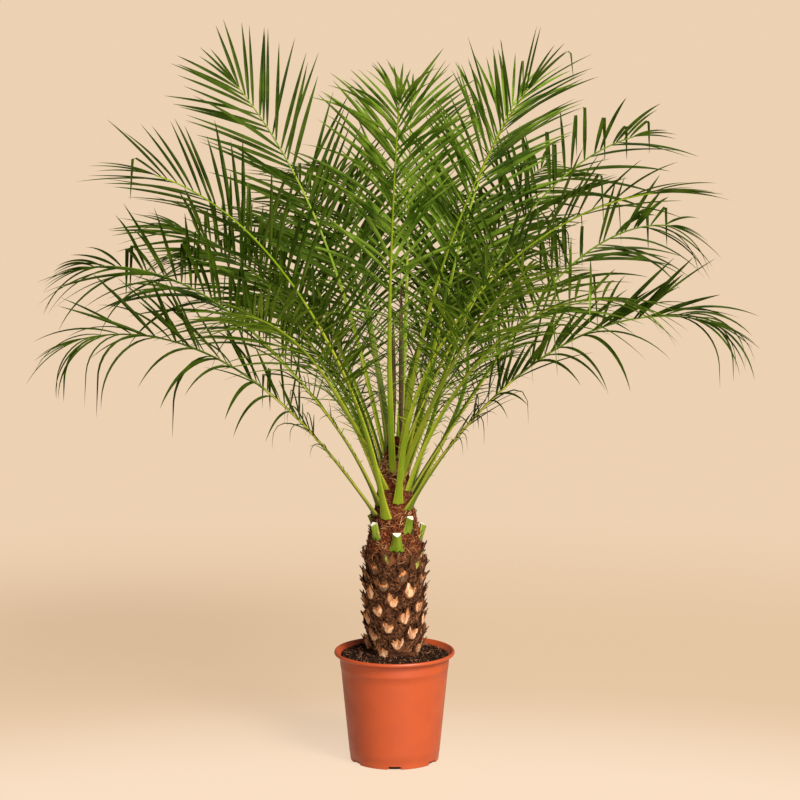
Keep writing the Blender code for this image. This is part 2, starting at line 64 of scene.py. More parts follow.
UP = Vector((0.0, 0.0, 1.0))
DOWN = Vector((0.0, 0.0, -1.0))
EVEN: Stretch = (1.0, 1.0, 1.0)  # patches and relief that run the same way all round,
UPRIGHT: Stretch = (1.0, 1.0, 0.25)  # upwards,
LEVEL: Stretch = (0.35, 0.35, 1.6)  # sideways,
ALONG_RIB: Stretch = (1.0, 1.0, 0.35)  # along a rib,
RIB_GRAIN: Stretch = (1.0, 1.0, 0.12)  # and in a rib's fine grain
COLOUR_MIX_INPUTS = (0, 6, 7)  # share, first and second colour of a Mix node
COLOUR_MIX_OUTPUT = 2
log = logging.getLogger("palm")


# ---------------------------------------------------------------- small sums


def polar(radius: float, heading: float, height: float) -> Vector:
    """The point at a radius and heading about the Z axis."""
    angle = math.radians(heading)
    return Vector((radius * math.cos(angle), radius * math.sin(angle), height))


def along(share: float, steps: Steps) -> float:
    """Reads a list of (share, value) steps, with straight runs between them.

    Args:
        share: where to read it.
        steps: the (share, value) pairs, in rising order.

    Returns:
        The value there, held at both ends.
    """
    for (a, low), (b, high) in zip(steps, steps[1:]):
        if share <= b:
            return low + (high - low) * max(0.0, share - a) / (b - a)
    return steps[-1][1]


def band_faces(rings: int, count: int) -> list[tuple[int, ...]]:
    """The faces between closed rings of equal count that follow each other."""
    faces = []
    for low in range(0, (rings - 1) * count, count):
        for k in range(count):
            n = (k + 1) % count
            faces.append((low + k, low + n, low + count + n, low + count + k))
    return faces


def eased(share: float) -> float:
    """A smooth step from 0 to 1, held outside."""
    share = min(1.0, max(0.0, share))
    return share * share * (3.0 - 2.0 * share)


# ---------------------------------------------------------------- node groups


class Graph:
    """A node tree that is being wired."""

    def __init__(self, tree: Tree) -> None:
        """Takes the tree to add to."""
        self.tree = tree

    def add(self, kind: str, **settings: object) -> Node:
        """Adds a node.

        Args:
            kind: its type, without the ShaderNode that it starts with.
            settings: attributes, and inputs by name with _ for a space, where a socket
                value is wired in.

        Returns:
            The node.
        """
        node = self.tree.nodes.new(f"ShaderNode{kind}")
        inputs = {}
        for name, value in settings.items():
            if name.startswith("in_"):
                inputs[name[3:].replace("_", " ")] = value
            else:
                setattr(node, name, value)
        for name, value in inputs.items():
            self.feed(node.inputs[int(name) if name.isdigit() else name], value)
        return node

    def feed(self, socket: Socket, value: object) -> None:
        """Links a socket to another one, or sets its own value."""
        if isinstance(value, Socket):
            self.tree.links.new(value, socket)
        elif isinstance(value, tuple) and len(value) == 3 and socket.type == "RGBA":
            socket.default_value = (*value, 1.0)
        else:
            socket.default_value = value

    def sum(self, operation: str, first: object, second: object = 0.0) -> Socket:
        """The output of a Math node."""
        return self.add("Math", operation=operation, in_0=first, in_1=second).outputs[0]

    def blend(self, share: object, first: object, second: object) -> Socket:
        """The colour between two colours at a share."""
        mix = self.add("Mix", data_type="RGBA")
        for number, value in zip(COLOUR_MIX_INPUTS, (share, first, second)):
            self.feed(mix.inputs[number], value)
        return mix.outputs[COLOUR_MIX_OUTPUT]


class SharedEffect(Enum):
    """The shader node groups that several finishes share."""

    PATCHES = "patches"
    RELIEF = "relief"
    DUST = "dust"


class Effects:
    """Builds each shared node group once."""

    def __init__(self) -> None:
        """Starts with none built."""
        self.built: dict[SharedEffect, Tree] = {}

    def group(self, effect: SharedEffect) -> Tree:
        """The node tree of an effect, made on its first use."""
        if effect not in self.built:
            maker = {
                SharedEffect.PATCHES: self._patches,
                SharedEffect.RELIEF: self._relief,
                SharedEffect.DUST: self._dust,
            }
            self.built[effect] = maker[effect]()
        return self.built[effect]

    @staticmethod
    def _open(
        name: str,
        takes: Iterable[tuple[str, str, object]],
        gives: Iterable[tuple[str, str]],
    ) -> tuple[Graph, Node, Node]:
        """An empty group with named sockets.

        Args:
            name: the group's name.
            takes: (name, socket kind, value) of each input.
            gives: (name, socket kind) of each output.

        Returns:
            The graph, its input node and its output node.
        """
        tree = bpy.data.node_groups.new(name, "ShaderNodeTree")
        for label, kind, value in takes:
            socket = tree.interface.new_socket(label, in_out="INPUT", socket_type=f"NodeSocket{kind}")
            socket.default_value = value
        for label, kind in gives:
            tree.interface.new_socket(label, in_out="OUTPUT", socket_type=f"NodeSocket{kind}")
        return Graph(tree), tree.nodes.new("NodeGroupInput"), tree.nodes.new("NodeGroupOutput")

    @staticmethod
    def _stretched(graph: Graph, takes: Node) -> Socket:
        """The object's own coordinates, stretched by the group's Stretch input."""
        place = graph.add("TexCoord").outputs["Object"]
        run = graph.add("VectorMath", operation="MULTIPLY", in_0=place, in_1=takes.outputs["Stretch"])
        return run.outputs[0]

    def _patches(self) -> Tree:
        """Two colours that run into each other in stretched, cloudy patches."""
        grey = (0.5, 0.5, 0.5, 1.0)
        graph, takes, gives = self._open(
            "patches",
            (
                ("First", "Color", grey),
                ("Second", "Color", grey),
                ("Scale", "Float", 10.0),
                ("Stretch", "Vector", EVEN),
                ("From", "Float", 0.4),
                ("To", "Float", 0.6),
            ),
            (("Colour", "Color"), ("Mask", "Float")),
        )
        cloud = graph.add(
            "TexNoise",
            in_Vector=self._stretched(graph, takes),
            in_Scale=takes.outputs["Scale"],
            in_Detail=5.0,
            in_Roughness=0.6,
        )
        mask = graph.add(
            "MapRange",
            in_Value=cloud.outputs[0],
            in_From_Min=takes.outputs["From"],
            in_From_Max=takes.outputs["To"],
        )
        colour = graph.blend(mask.outputs[0], takes.outputs["First"], takes.outputs["Second"])
        graph.feed(gives.inputs["Colour"], colour)
        graph.feed(gives.inputs["Mask"], mask.outputs[0])
        return graph.tree

    def _relief(self) -> Tree:
        """A fine stretched relief, as a height from 0 to 1."""
        graph, takes, gives = self._open(
            "relief",
            (("Scale", "Float", 200.0), ("Stretch", "Vector", EVEN)),
            (("Height", "Float"),),
        )
        grain = graph.add(
            "TexNoise",
            in_Vector=self._stretched(graph, takes),
            in_Scale=takes.outputs["Scale"],
            in_Detail=4.0,
            in_Roughness=0.62,
        )
        graph.feed(gives.inputs["Height"], grain.outputs[0])
        return graph.tree

    def _dust(self) -> Tree:
        """Small specks and marks laid over a colour, denser in some clouds than in others."""
        cloud_share, soft_rim = 0.12, 0.12
        graph, takes, gives = self._open(
            "dust",
            (
                ("Under", "Color", (0.5, 0.5, 0.5, 1.0)),
                ("Speck", "Color", (0.5, 0.5, 0.5, 1.0)),
                ("Scale", "Float", 300.0),
                ("Cover", "Float", 0.3),
            ),
            (("Colour", "Color"),),
        )
        place = graph.add("TexCoord").outputs["Object"]
        cells = graph.add("TexVoronoi", in_Vector=place, in_Scale=takes.outputs["Scale"])
        broad = graph.sum("MULTIPLY", takes.outputs["Scale"], cloud_share)
        cloud = graph.add("TexNoise", in_Vector=place, in_Scale=broad)
        cover = graph.sum("MULTIPLY", cloud.outputs[0], takes.outputs["Cover"])
        near = graph.sum("SUBTRACT", cover, cells.outputs[0])
        mask = graph.add("MapRange", in_Value=near, in_From_Min=0.0, in_From_Max=soft_rim)
        colour = graph.blend(mask.outputs[0], takes.outputs["Under"], takes.outputs["Speck"])
        graph.feed(gives.inputs["Colour"], colour)
        return graph.tree


EFFECTS = Effects()


# ---------------------------------------------------------------- finishes


@dataclass(frozen=True)
class Finish:
    """A finish of two colours in patches, with a fine relief and varied gloss.

    Attributes:
        name: the material's name.
        slot: the record's material slot; not used here.
        colour: the main colour, linear.
        second: the colour of the patches.
        patch: scale and stretch of the patches.
        spread: where the patches start and are full, from 0 to 1.
        gloss: roughness in the first colour and in the second.
        relief: scale and stretch of the relief.
        depth: how deep the relief is, in metres.
        specular: the shader's specular level.
    """

    name: str
    slot: str
    colour: Colour
    second: Colour
    patch: tuple[float, Stretch] = (12.0, EVEN)
    spread: Span = (0.42, 0.60)
    gloss: Span = (0.55, 0.75)
    relief: tuple[float, Stretch] = (220.0, EVEN)
    depth: float = 0.0006
    specular: float = 0.4

    def material(self) -> bpy.types.Material:
        """The finish as a material, made on its first use."""
        known = bpy.data.materials.get(self.name)
        if known is not None:
            return known
        made = bpy.data.materials.new(self.name)
        made.use_nodes = True
        graph = Graph(made.node_tree)
        shader = made.node_tree.nodes["Principled BSDF"]
        shader.inputs["Specular IOR Level"].default_value = self.specular
        colour, mask = self._patches(graph)
        graph.feed(shader.inputs["Base Color"], self._dressed(graph, shader, colour))
        rough = graph.add("MapRange", in_Value=mask, in_To_Min=self.gloss[0], in_To_Max=self.gloss[1])
        graph.feed(shader.inputs["Roughness"], rough.outputs[0])
        graph.feed(shader.inputs["Normal"], self._normal(graph))
        return made

    def _patches(self, graph: Graph) -> tuple[Socket, Socket]:
        """The patched colour and its mask."""
        group = graph.add(
            "Group",
            node_tree=EFFECTS.group(SharedEffect.PATCHES),
            in_First=self.colour,
            in_Second=self.second,
            in_Scale=self.patch[0],
            in_Stretch=self.patch[1],
            in_From=self.spread[0],
            in_To=self.spread[1],
        )
        return group.outputs["Colour"], group.outputs["Mask"]

    def _normal(self, graph: Graph) -> Socket:
        """The relief as a normal."""
        tree = EFFECTS.group(SharedEffect.RELIEF)
        group = graph.add("Group", node_tree=tree, in_Scale=self.relief[0], in_Stretch=self.relief[1])
        bump = graph.add("Bump", in_Distance=self.depth, in_Height=group.outputs["Height"])
        return bump.outputs[0]

    def _dressed(self, graph: Graph, shader: Node, colour: Socket) -> Socket:
        """The colour with what the kind of finish adds, here nothing."""
        return colour


@dataclass(frozen=True)
class LeafFinish(Finish):
    """A living leaf: some light shines through it.

    Attributes:
        through: the share of light that it lets through.
        lit: the colour of that light.
    """

    through: float = 0.20
    lit: Colour = (0.2, 0.4, 0.03)

    def _dressed(self, graph: Graph, shader: Node, colour: Socket) -> Socket:
        """Mixes in the light that shines through, and keeps the colour."""
        thin = graph.add("BsdfTranslucent", in_Color=self.lit)
        both = graph.add("MixShader", in_0=self.through, in_1=shader.outputs[0], in_2=thin.outputs[0])
        output = graph.tree.nodes["Material Output"]
        graph.feed(output.inputs["Surface"], both.outputs[0])
        return colour


@dataclass(frozen=True)
class PottedFinish(Finish):
    """Moulded plastic with faint scuffs and soil dust.

    Attributes:
        dust: the colour of the specks.
        cover: how much of it they cover.
        fineness: the scale of the specks.
    """

    dust: Colour = (0.10, 0.05, 0.03)
    cover: float = 0.35
    fineness: float = 190.0

    def _dressed(self, graph: Graph, shader: Node, colour: Socket) -> Socket:
        """Lays specks over the colour."""
        group = graph.add(
            "Group",
            node_tree=EFFECTS.group(SharedEffect.DUST),
            in_Under=colour,
            in_Speck=self.dust,
            in_Scale=self.fineness,
            in_Cover=self.cover,
        )
        return group.outputs["Colour"]


@dataclass(frozen=True)
class BackdropFinish(Finish):
    """A plain backdrop that glows softly, with a painted pool of light in front of the plant and a painted
    band of shade round it.

    Attributes:
        glow: the colour and strength of the glow far away.
        dip: the same in the painted band of shade round the pool, where it is dimmest.
        near: the same within the pool, a painted pool of light.
        centre: the middle of the pool.
        painted_shade_at: how far from there the painted shade is darkest.
        painted_shade_reach: how far the painted shade reaches to either side.
        pool: the outer and the inner edge of the pool's soft rim.
    """

    glow: Colour = (0.3, 0.25, 0.2)
    dip: Colour = (0.3, 0.25, 0.2)
    near: Colour = (0.3, 0.25, 0.2)
    centre: tuple[float, float, float] = (0.0, -2.4, 0.0)
    painted_shade_at: float = 3.7
    painted_shade_reach: float = 2.2
    pool: Span = (3.2, 2.2)

    def _dressed(self, graph: Graph, shader: Node, colour: Socket) -> Socket:
        """Adds the glow, with its painted pool of light near the front and its painted band of shade round
        the pool, and keeps the colour.
        """
        place = graph.add("TexCoord").outputs["Object"]
        away = graph.add("VectorMath", operation="DISTANCE", in_0=place, in_1=self.centre).outputs["Value"]
        off = graph.sum("ABSOLUTE", graph.sum("SUBTRACT", away, self.painted_shade_at))
        # painted shade in a band round the pool, and a painted pool of light in front of the plant
        painted_shade_mask = self._soft(graph, off, self.painted_shade_reach, 0.0)
        front = self._soft(graph, away, *self.pool)
        glow = graph.blend(painted_shade_mask, self.glow, self.dip)
        graph.feed(shader.inputs["Emission Color"], graph.blend(front, glow, self.near))
        shader.inputs["Emission Strength"].default_value = 1.0
        return colour

    @staticmethod
    def _soft(graph: Graph, value: Socket, start: float, full: float) -> Socket:
        """A smooth step from 0 at one value to 1 at another."""
        return graph.add(
            "MapRange", interpolation_type="SMOOTHSTEP", in_Value=value, in_From_Min=start, in_From_Max=full
        ).outputs[0]


class Tone(Enum):
    """The leaf tones of the crown, each dealt to whole fronds: lighter and darker copies of one green for how
    much light each frond gets, so painted light and shade.
    """

    DARK = "dark"
    # painted shade: the rear fronds get a darker copy of the leaf green
    REAR = "rear"
    MID = "mid"
    LIGHT = "light"
    OLIVE = "olive"

    def leaf(self) -> LeafFinish:
        """The finish of a leaflet of this tone."""
        first, second, lit = LEAF_COLOURS[self]
        return LeafFinish(
            f"leaf_{self.value}",
            "frond",
            first,
            second,
            patch=(11.0, EVEN),
            spread=(0.40, 0.62),
            gloss=(0.45, 0.60),
            relief=(260.0, EVEN),
            depth=0.0003,
            specular=0.035,
            lit=lit,
        )

    def rib(self) -> Finish:
        """The finish of a rib of this tone."""
        first, second = RIB_COLOURS[self]
        return Finish(
            f"rib_{self.value}",
            "frond",
            first,
            second,
            patch=(9.0, ALONG_RIB),
            gloss=(0.34, 0.5),
            relief=(300.0, RIB_GRAIN),
            depth=0.0004,
            specular=0.16,
        )


# Painted light and shade: one leaf green made lighter and darker for how much light each frond gets, darkest
# on the dark and rear fronds.
LEAF_COLOURS: dict[Tone, tuple[Colour, Colour, Colour]] = {
    Tone.DARK: ((0.009, 0.020, 0.0008), (0.036, 0.063, 0.0030), (0.050, 0.095, 0.0015)),
    Tone.REAR: ((0.012, 0.028, 0.0011), (0.054, 0.093, 0.0054), (0.086, 0.151, 0.0018)),
    Tone.MID: ((0.024, 0.057, 0.0022), (0.130, 0.207, 0.0200), (0.140, 0.241, 0.0063)),
    Tone.LIGHT: ((0.013, 0.031, 0.0014), (0.053, 0.087, 0.0084), (0.095, 0.154, 0.0048)),
    Tone.OLIVE: ((0.022, 0.051, 0.0014), (0.108, 0.169, 0.0112), (0.140, 0.220, 0.0042)),
}
# Painted light and shade on the ribs, in the same way as on the leaflets.
RIB_COLOURS: dict[Tone, tuple[Colour, Colour]] = {
    Tone.DARK: ((0.060, 0.116, 0.0030), (0.102, 0.156, 0.0050)),
    Tone.REAR: ((0.056, 0.106, 0.0030), (0.096, 0.146, 0.0050)),
    Tone.MID: ((0.120, 0.198, 0.0035), (0.190, 0.254, 0.0080)),
    Tone.LIGHT: ((0.118, 0.188, 0.0035), (0.184, 0.240, 0.0090)),
    Tone.OLIVE: ((0.120, 0.188, 0.0035), (0.184, 0.240, 0.0080)),
}


# ---------------------------------------------------------------- meshes


@dataclass
class Pile:
    """Points and faces gathered for one piece.

    Attributes:
        name: the piece's name.
        skins: its finishes; a face names one by number.
        points: the points so far.
        faces: the faces so far.
        numbers: each face's finish.
    """

    name: str
    skins: Sequence[Finish]
    points: list[Vector] = field(default_factory=list)
    faces: list[tuple[int, ...]] = field(default_factory=list)
    numbers: list[int] = field(default_factory=list)

    def add(
        self, points: Sequence[Vector], faces: Sequence[Sequence[int]], skin: int | Sequence[int] = 0
    ) -> None:
        """Adds points, and faces that count from the first of them.

        Args:
            points: the new points.
            faces: their faces.
            skin: the number of the faces' finish, or a number for each face.
        """
        start = len(self.points)
        self.points += points
        self.faces += [tuple(start + c for c in face) for face in faces]
        self.numbers += [skin] * len(faces) if isinstance(skin, int) else skin

    def tube(
        self, rings: Sequence[Sequence[Vector]], skin: int = 0, caps: tuple[bool, bool] = (True, True)
    ) -> None:
        """Adds a skin over closed rings of equal count.

        Args:
            rings: the rings, in order.
            skin: the number of the finish.
            caps: whether the first and the last ring are closed.
        """
        count = len(rings[0])
        points = [p for ring in rings for p in ring]
        faces = band_faces(len(rings), count)
        if caps[0]:
            faces.append(tuple(reversed(range(count))))
        if caps[1]:
            faces.append(tuple(range(len(points) - count, len(points))))
        self.add(points, faces, skin)

    def piece(
        self, replaces: Iterable[str] = (), crease: float = 40.0, outwards: bool = True
    ) -> bpy.types.Object:
        """Makes the piece, which rides on the plant's one body.

        Args:
            replaces: the solids that it stands for.
            crease: the angle in degrees above which an edge stays sharp.
            outwards: whether its faces are turned outwards first, for closed shapes.

        Returns:
            The object.
        """
        mesh = bpy.data.meshes.new(self.name)
        mesh.from_pydata([tuple(p) for p in self.points], [], self.faces)
        for skin in self.skins:
            mesh.materials.append(skin.material())
        mesh.polygons.foreach_set("material_index", self.numbers)
        if outwards:
            bm = bmesh.new()
            bm.from_mesh(mesh)
            bmesh.ops.recalc_face_normals(bm, faces=bm.faces)
            bm.to_mesh(mesh)
            bm.free()
        mesh.shade_smooth()
        mesh.set_sharp_from_angle(angle=math.radians(crease))
        made = bpy.data.objects.new(self.name, mesh)
        bpy.context.scene.collection.objects.link(made)
        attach(made, "root")
        nodes = tuple(replaces)
        if nodes:
            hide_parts(*nodes)
        triangles = sum(len(face) - 2 for face in self.faces)
        solids = ", ".join(nodes) or "nothing"
        log.info("%s: %d triangles, stands for %s", self.name, triangles, solids)
        return made


# ---------------------------------------------------------------- fronds


@dataclass(frozen=True)
class Frond:
    """One frond of the crown.

    Attributes:
        base: height of its foot.
        base_heading: heading of its foot.
        heading: heading of its blade.
        rise: degrees above level at the foot.
        dip: degrees above level at the tip.
        curl: where the bend lies, later for more.
        reach: its length along the rib.
        roll: its turn about the rib.
        droop: how far its leaflets droop.
        tone: its leaf tone, whose lightness paints light and shade on it.
        hooks: share of its upright leaflets that are folded over.
        gaps: share of its leaflets that are missing.
        slim: width of its leaflets, as a share of the usual.
    """

    base: float
    base_heading: float
    heading: float
    rise: float
    dip: float
    curl: float
    reach: float
    roll: float
    droop: float
    tone: Tone = Tone.REAR
    hooks: float = 0.08
    gaps: float = 0.12
    slim: float = 1.0


FRONDS = (
    Frond(0.664, -113, -152, 66, -4, 2.6, 1.38, 32, 16, Tone.LIGHT, 0.08, 0.12, 0.96),
    Frond(0.668, 204, 182, 54, -36, 2.0, 1.10, -18, 62, Tone.DARK, 0.15, 0.22),
    Frond(0.672, 112, 118, 56, -36, 1.7, 1.16, 20, 60, Tone.REAR, 0.15, 0.10),
    Frond(0.680, 60, 76, 55, -34, 1.6, 1.18, -20, 60, Tone.REAR, 0.15, 0.10),
    Frond(0.686, -45, -5, 53, -43, 2.3, 1.17, 18, 62, Tone.DARK, 0.15, 0.20),
    Frond(0.696, -146, 148, 64, -24, 1.35, 1.32, -30, 35, Tone.DARK, 0.35, 0.15),
    Frond(0.704, -79, -18, 70, -8, 1.75, 1.36, -22, 20, Tone.LIGHT, 0.12, 0.30, 0.95),
    Frond(0.700, 20, 97, 60, -30, 1.5, 1.20, 15, 50, Tone.REAR, 0.12, 0.10),
    Frond(0.712, 130, 130, 62, -22, 1.4, 1.26, -20, 40, Tone.REAR, 0.10, 0.10),
    Frond(0.735, -36, -56, 70, -8, 0.95, 1.22, -20, 35, Tone.MID, 0.05, 0.25, 0.80),
    Frond(0.728, 4, 44, 58, -29, 1.85, 1.37, 34, 40, Tone.DARK, 0.50, 0.32),
    Frond(0.726, 84, 60, 62, -20, 1.4, 1.27, 20, 40, Tone.REAR, 0.10, 0.10),
    Frond(0.740, -126, -112, 58, 5, 1.0, 1.12, 15, 30, Tone.OLIVE, 0.03, 0.28, 0.80),
    Frond(0.744, 165, 140, 68, -8, 1.4, 1.14, -25, 25, Tone.REAR, 0.06, 0.10),
    Frond(0.764, -63, -72, 61, 19, 0.6, 1.23, -15, 25, Tone.OLIVE, 0.03, 0.28, 0.80),
    Frond(0.750, 50, 84, 68, -8, 1.3, 1.26, 15, 30, Tone.REAR, 0.08, 0.10),
    Frond(0.762, 105, 112, 68, -5, 1.4, 1.27, -15, 25, Tone.REAR, 0.08, 0.10),
    Frond(0.778, 22, 66, 68, -5, 1.5, 1.28, 25, 25, Tone.REAR, 0.08, 0.10),
    Frond(0.790, 152, 108, 74, -20, 1.05, 1.28, -15, 25, Tone.REAR, 0.06, 0.10),
    Frond(0.786, -98, -86, 77, 34, 1.55, 1.29, 0, 42, Tone.MID, 0.00, 0.10),
    Frond(0.819, -60, -43, 74, 41, 1.8, 1.255, -25, 22, Tone.LIGHT, 0.04, 0.28, 0.72),
    Frond(0.800, 75, 88, 76, 22, 1.5, 1.26, 10, 16, Tone.MID, 0.03, 0.10),
    Frond(0.806, 25, 62, 75, 24, 1.5, 1.27, 20, 16, Tone.MID, 0.03, 0.10),
    Frond(0.841, 115, 98, 71, -12, 1.2, 1.27, -10, 20, Tone.REAR, 0.05, 0.10),
    Frond(0.822, 153, 148, 76, 36, 1.65, 1.23, -48, 10, Tone.LIGHT, 0.00, 0.10),
    Frond(0.842, -2, 41, 68, -7, 1.6, 1.33, 34, 22, Tone.DARK, 0.60, 0.35),
)


@dataclass(frozen=True)
class RibRule:
    """Sizes of a frond's rib, as its solid has them, and those of its finer outline.

    Attributes:
        width: the solid's width along the reach.
        depth: its depth.
        foot_flare: a foot's extra width, by its height on the trunk.
        flare_end: share of the reach where that width is gone.
        swing_end: share where the rib has the heading of its blade.
        roll_end: share where it has its whole turn.
        steps: steps along the curve.
        sides: corners of the finer outline.
        stations: steps along the finer rib.
        crowding: how much closer they stand towards the foot.
        fuller: the finer rib's width, as a share of the solid's.
        groove: what stays of its upper side's height, and what its middle loses.
        margins: the sides of the outline that are pale.
        margin_end: share of the reach where the pale margins end.
        foot_end: share where the foot's level cut ends.
        lobe: depth of the lobes under the foot.
        sink: how far a foot goes on inwards and down, into the fibre.
        seat_gap: how far the solid's foot stays off the trunk.
        seat_start: how far off the trunk the search for its place starts.
        seat_tries: steps of that search.
        seat_step: share of the distance that each step takes.
        seat_shares: where a foot may touch the trunk.
    """

    width: Steps = ((0.0, 0.016), (0.14, 0.0135), (0.30, 0.011), (0.60, 0.0075), (1.0, 0.004))
    depth: Steps = ((0.0, 0.011), (0.14, 0.010), (0.30, 0.008), (0.60, 0.006), (1.0, 0.004))
    foot_flare: Steps = ((0.66, 0.015), (0.80, 0.0))
    flare_end: float = 0.06
    swing_end: float = 0.45
    roll_end: float = 0.6
    steps: int = 80
    sides: int = 14
    stations: int = 44
    crowding: float = 1.15
    fuller: Steps = ((0.0, 1.12), (0.12, 1.15), (0.28, 1.0), (0.45, 0.70), (1.0, 0.62))
    groove: Span = (0.75, 0.25)
    margins: tuple[int, ...] = (0, 5, 6, 7, 12, 13)
    margin_end: float = 0.42
    foot_end: float = 0.045
    lobe: float = 0.006
    sink: Span = (0.012, 0.001)
    seat_gap: float = 0.0004
    seat_start: float = 0.05
    seat_tries: int = 60
    seat_step: float = 0.8
    seat_shares: tuple[float, ...] = (0.0, 0.01, 0.02, 0.03, 0.04, 0.065, 0.09)


class Rib:
    """The curve of one frond's rib, with its own side and upper directions."""

    def __init__(self, frond: Frond, foot_radius: float, rule: RibRule) -> None:
        """Walks the curve from the foot.

        Args:
            frond: the frond.
            foot_radius: how far its foot is from the trunk's axis.
            rule: the sizes.
        """
        self.frond, self.rule = frond, rule
        self.points: list[Vector] = []
        self.tangents: list[Vector] = []
        spot = polar(foot_radius, frond.base_heading, frond.base)
        swing = (frond.heading - frond.base_heading + 180.0) % 360.0 - 180.0
        for k in range(rule.steps + 1):
            share = k / rule.steps
            tilt = math.radians(frond.rise + (frond.dip - frond.rise) * share**frond.curl)
            heading = frond.base_heading + swing * eased(share / rule.swing_end)
            tangent = polar(math.cos(tilt), heading, math.sin(tilt))
            self.points.append(spot.copy())
            self.tangents.append(tangent)
            spot = spot + tangent * (frond.reach / rule.steps)

    def place(self, share: float) -> tuple[Vector, Vector, Vector, Vector]:
        """Point, tangent, side and upper direction at a share of the reach."""
        spot = min(share, 1.0) * self.rule.steps
        k = min(int(spot), self.rule.steps - 1)
        point = self.points[k].lerp(self.points[k + 1], spot - k)
        tangent = self.tangents[k].lerp(self.tangents[k + 1], spot - k).normalized()
        side = tangent.cross(UP).normalized()
        roll = math.radians(self.frond.roll) * eased(share / self.rule.roll_end)
        side = Quaternion(tangent, roll) @ side
        return point, tangent, side, side.cross(tangent)

    def width(self, share: float) -> float:
        """The rib's width, with the flare of its foot."""
        flare = along(self.frond.base, self.rule.foot_flare)
        fading = max(0.0, 1.0 - share / self.rule.flare_end)
        return along(share, self.rule.width) + flare * fading**2

    def shown_width(self, share: float) -> float:
        """The width of the finer rib: fuller at the foot and finer in the blade."""
        return self.width(share) * along(share, self.rule.fuller)

    def corners(self, share: float) -> list[Vector]:
        """The four corners of the solid's rib at a share of the reach."""
        point, _, side, upper = self.place(share)
        half_width = side * (self.width(share) * 0.5)
        half_depth = upper * (along(share, self.rule.depth) * 0.5)
        return [
            point - half_width + half_depth,
            point - half_width - half_depth,
            point + half_width - half_depth,
            point + half_width + half_depth,
        ]

    def ring(self, share: float) -> list[Vector]:
        """The rib's own outline: a shallow groove above and a round back."""
        point, tangent, side, upper = self.place(share)
        width, depth = self.shown_width(share) * 0.5, along(share, self.rule.depth) * 0.5
        level = max(0.0, 1.0 - share / self.rule.foot_end)
        kept, lost = self.rule.groove
        ring = []
        for c in range(self.rule.sides):
            angle = math.tau * (c + 0.5) / self.rule.sides
            across, above = math.cos(angle), math.sin(angle)
            lobe = self.rule.lobe * level**2 * max(0.0, -above) * abs(math.cos(1.5 * math.pi * across))
            if above > 0.0:
                above = above * kept - lost * (1.0 - abs(across))
            spot = point + side * (across * width) + upper * (above * depth)
            ring.append(spot + tangent * ((point.z - spot.z) / tangent.z * level) - UP * lobe)
        return ring


@dataclass(frozen=True)
class SpineRule:
    """The spines along a frond's bare foot, which pass into thin hanging leaflets.

    Attributes:
        start: share of the reach where they start.
        past: how far they go on past the start of the blade.
        grows_from: share of the reach from which they get longer.
        lengths: length of the first ones, and what the last ones add.
        scatter: the drawn part of their length.
        spread: degrees between a spine and its rib.
        lift: how far it stands up from the blade.
        seat: where across the rib it grows, as a share of the rib's width.
        soft_from: share of their growth from which they are leaflets.
        soft_share: share of those below it that are leaflets too.
        sag: how far the last ones turn down.
        drooping: what a frond with much droop makes of their sag and length.
        gaps: from one spine to the next, in shares of the reach.
        steps: steps along a spine.
        widths: half its width at its foot: the least, and what a metre of length adds.
        point: half its width at its tip.
        taper: how late it starts to narrow.
        most_sag: the most that it turns down.
    """

    start: float = 0.10
    past: float = 0.02
    grows_from: float = 0.08
    lengths: Span = (0.014, 0.15)
    scatter: Span = (0.45, 1.25)
    spread: Span = (28.0, 72.0)
    lift: Span = (-0.3, 0.6)
    seat: float = 0.4
    soft_from: float = 0.55
    soft_share: float = 0.2
    sag: Span = (0.3, 1.9)
    drooping: Span = (1.9, 1.2)
    gaps: Span = (0.009, 0.021)
    steps: int = 8
    widths: Span = (0.0008, 0.0075)
    point: float = 0.00012
    taper: float = 1.6
    most_sag: float = 0.95


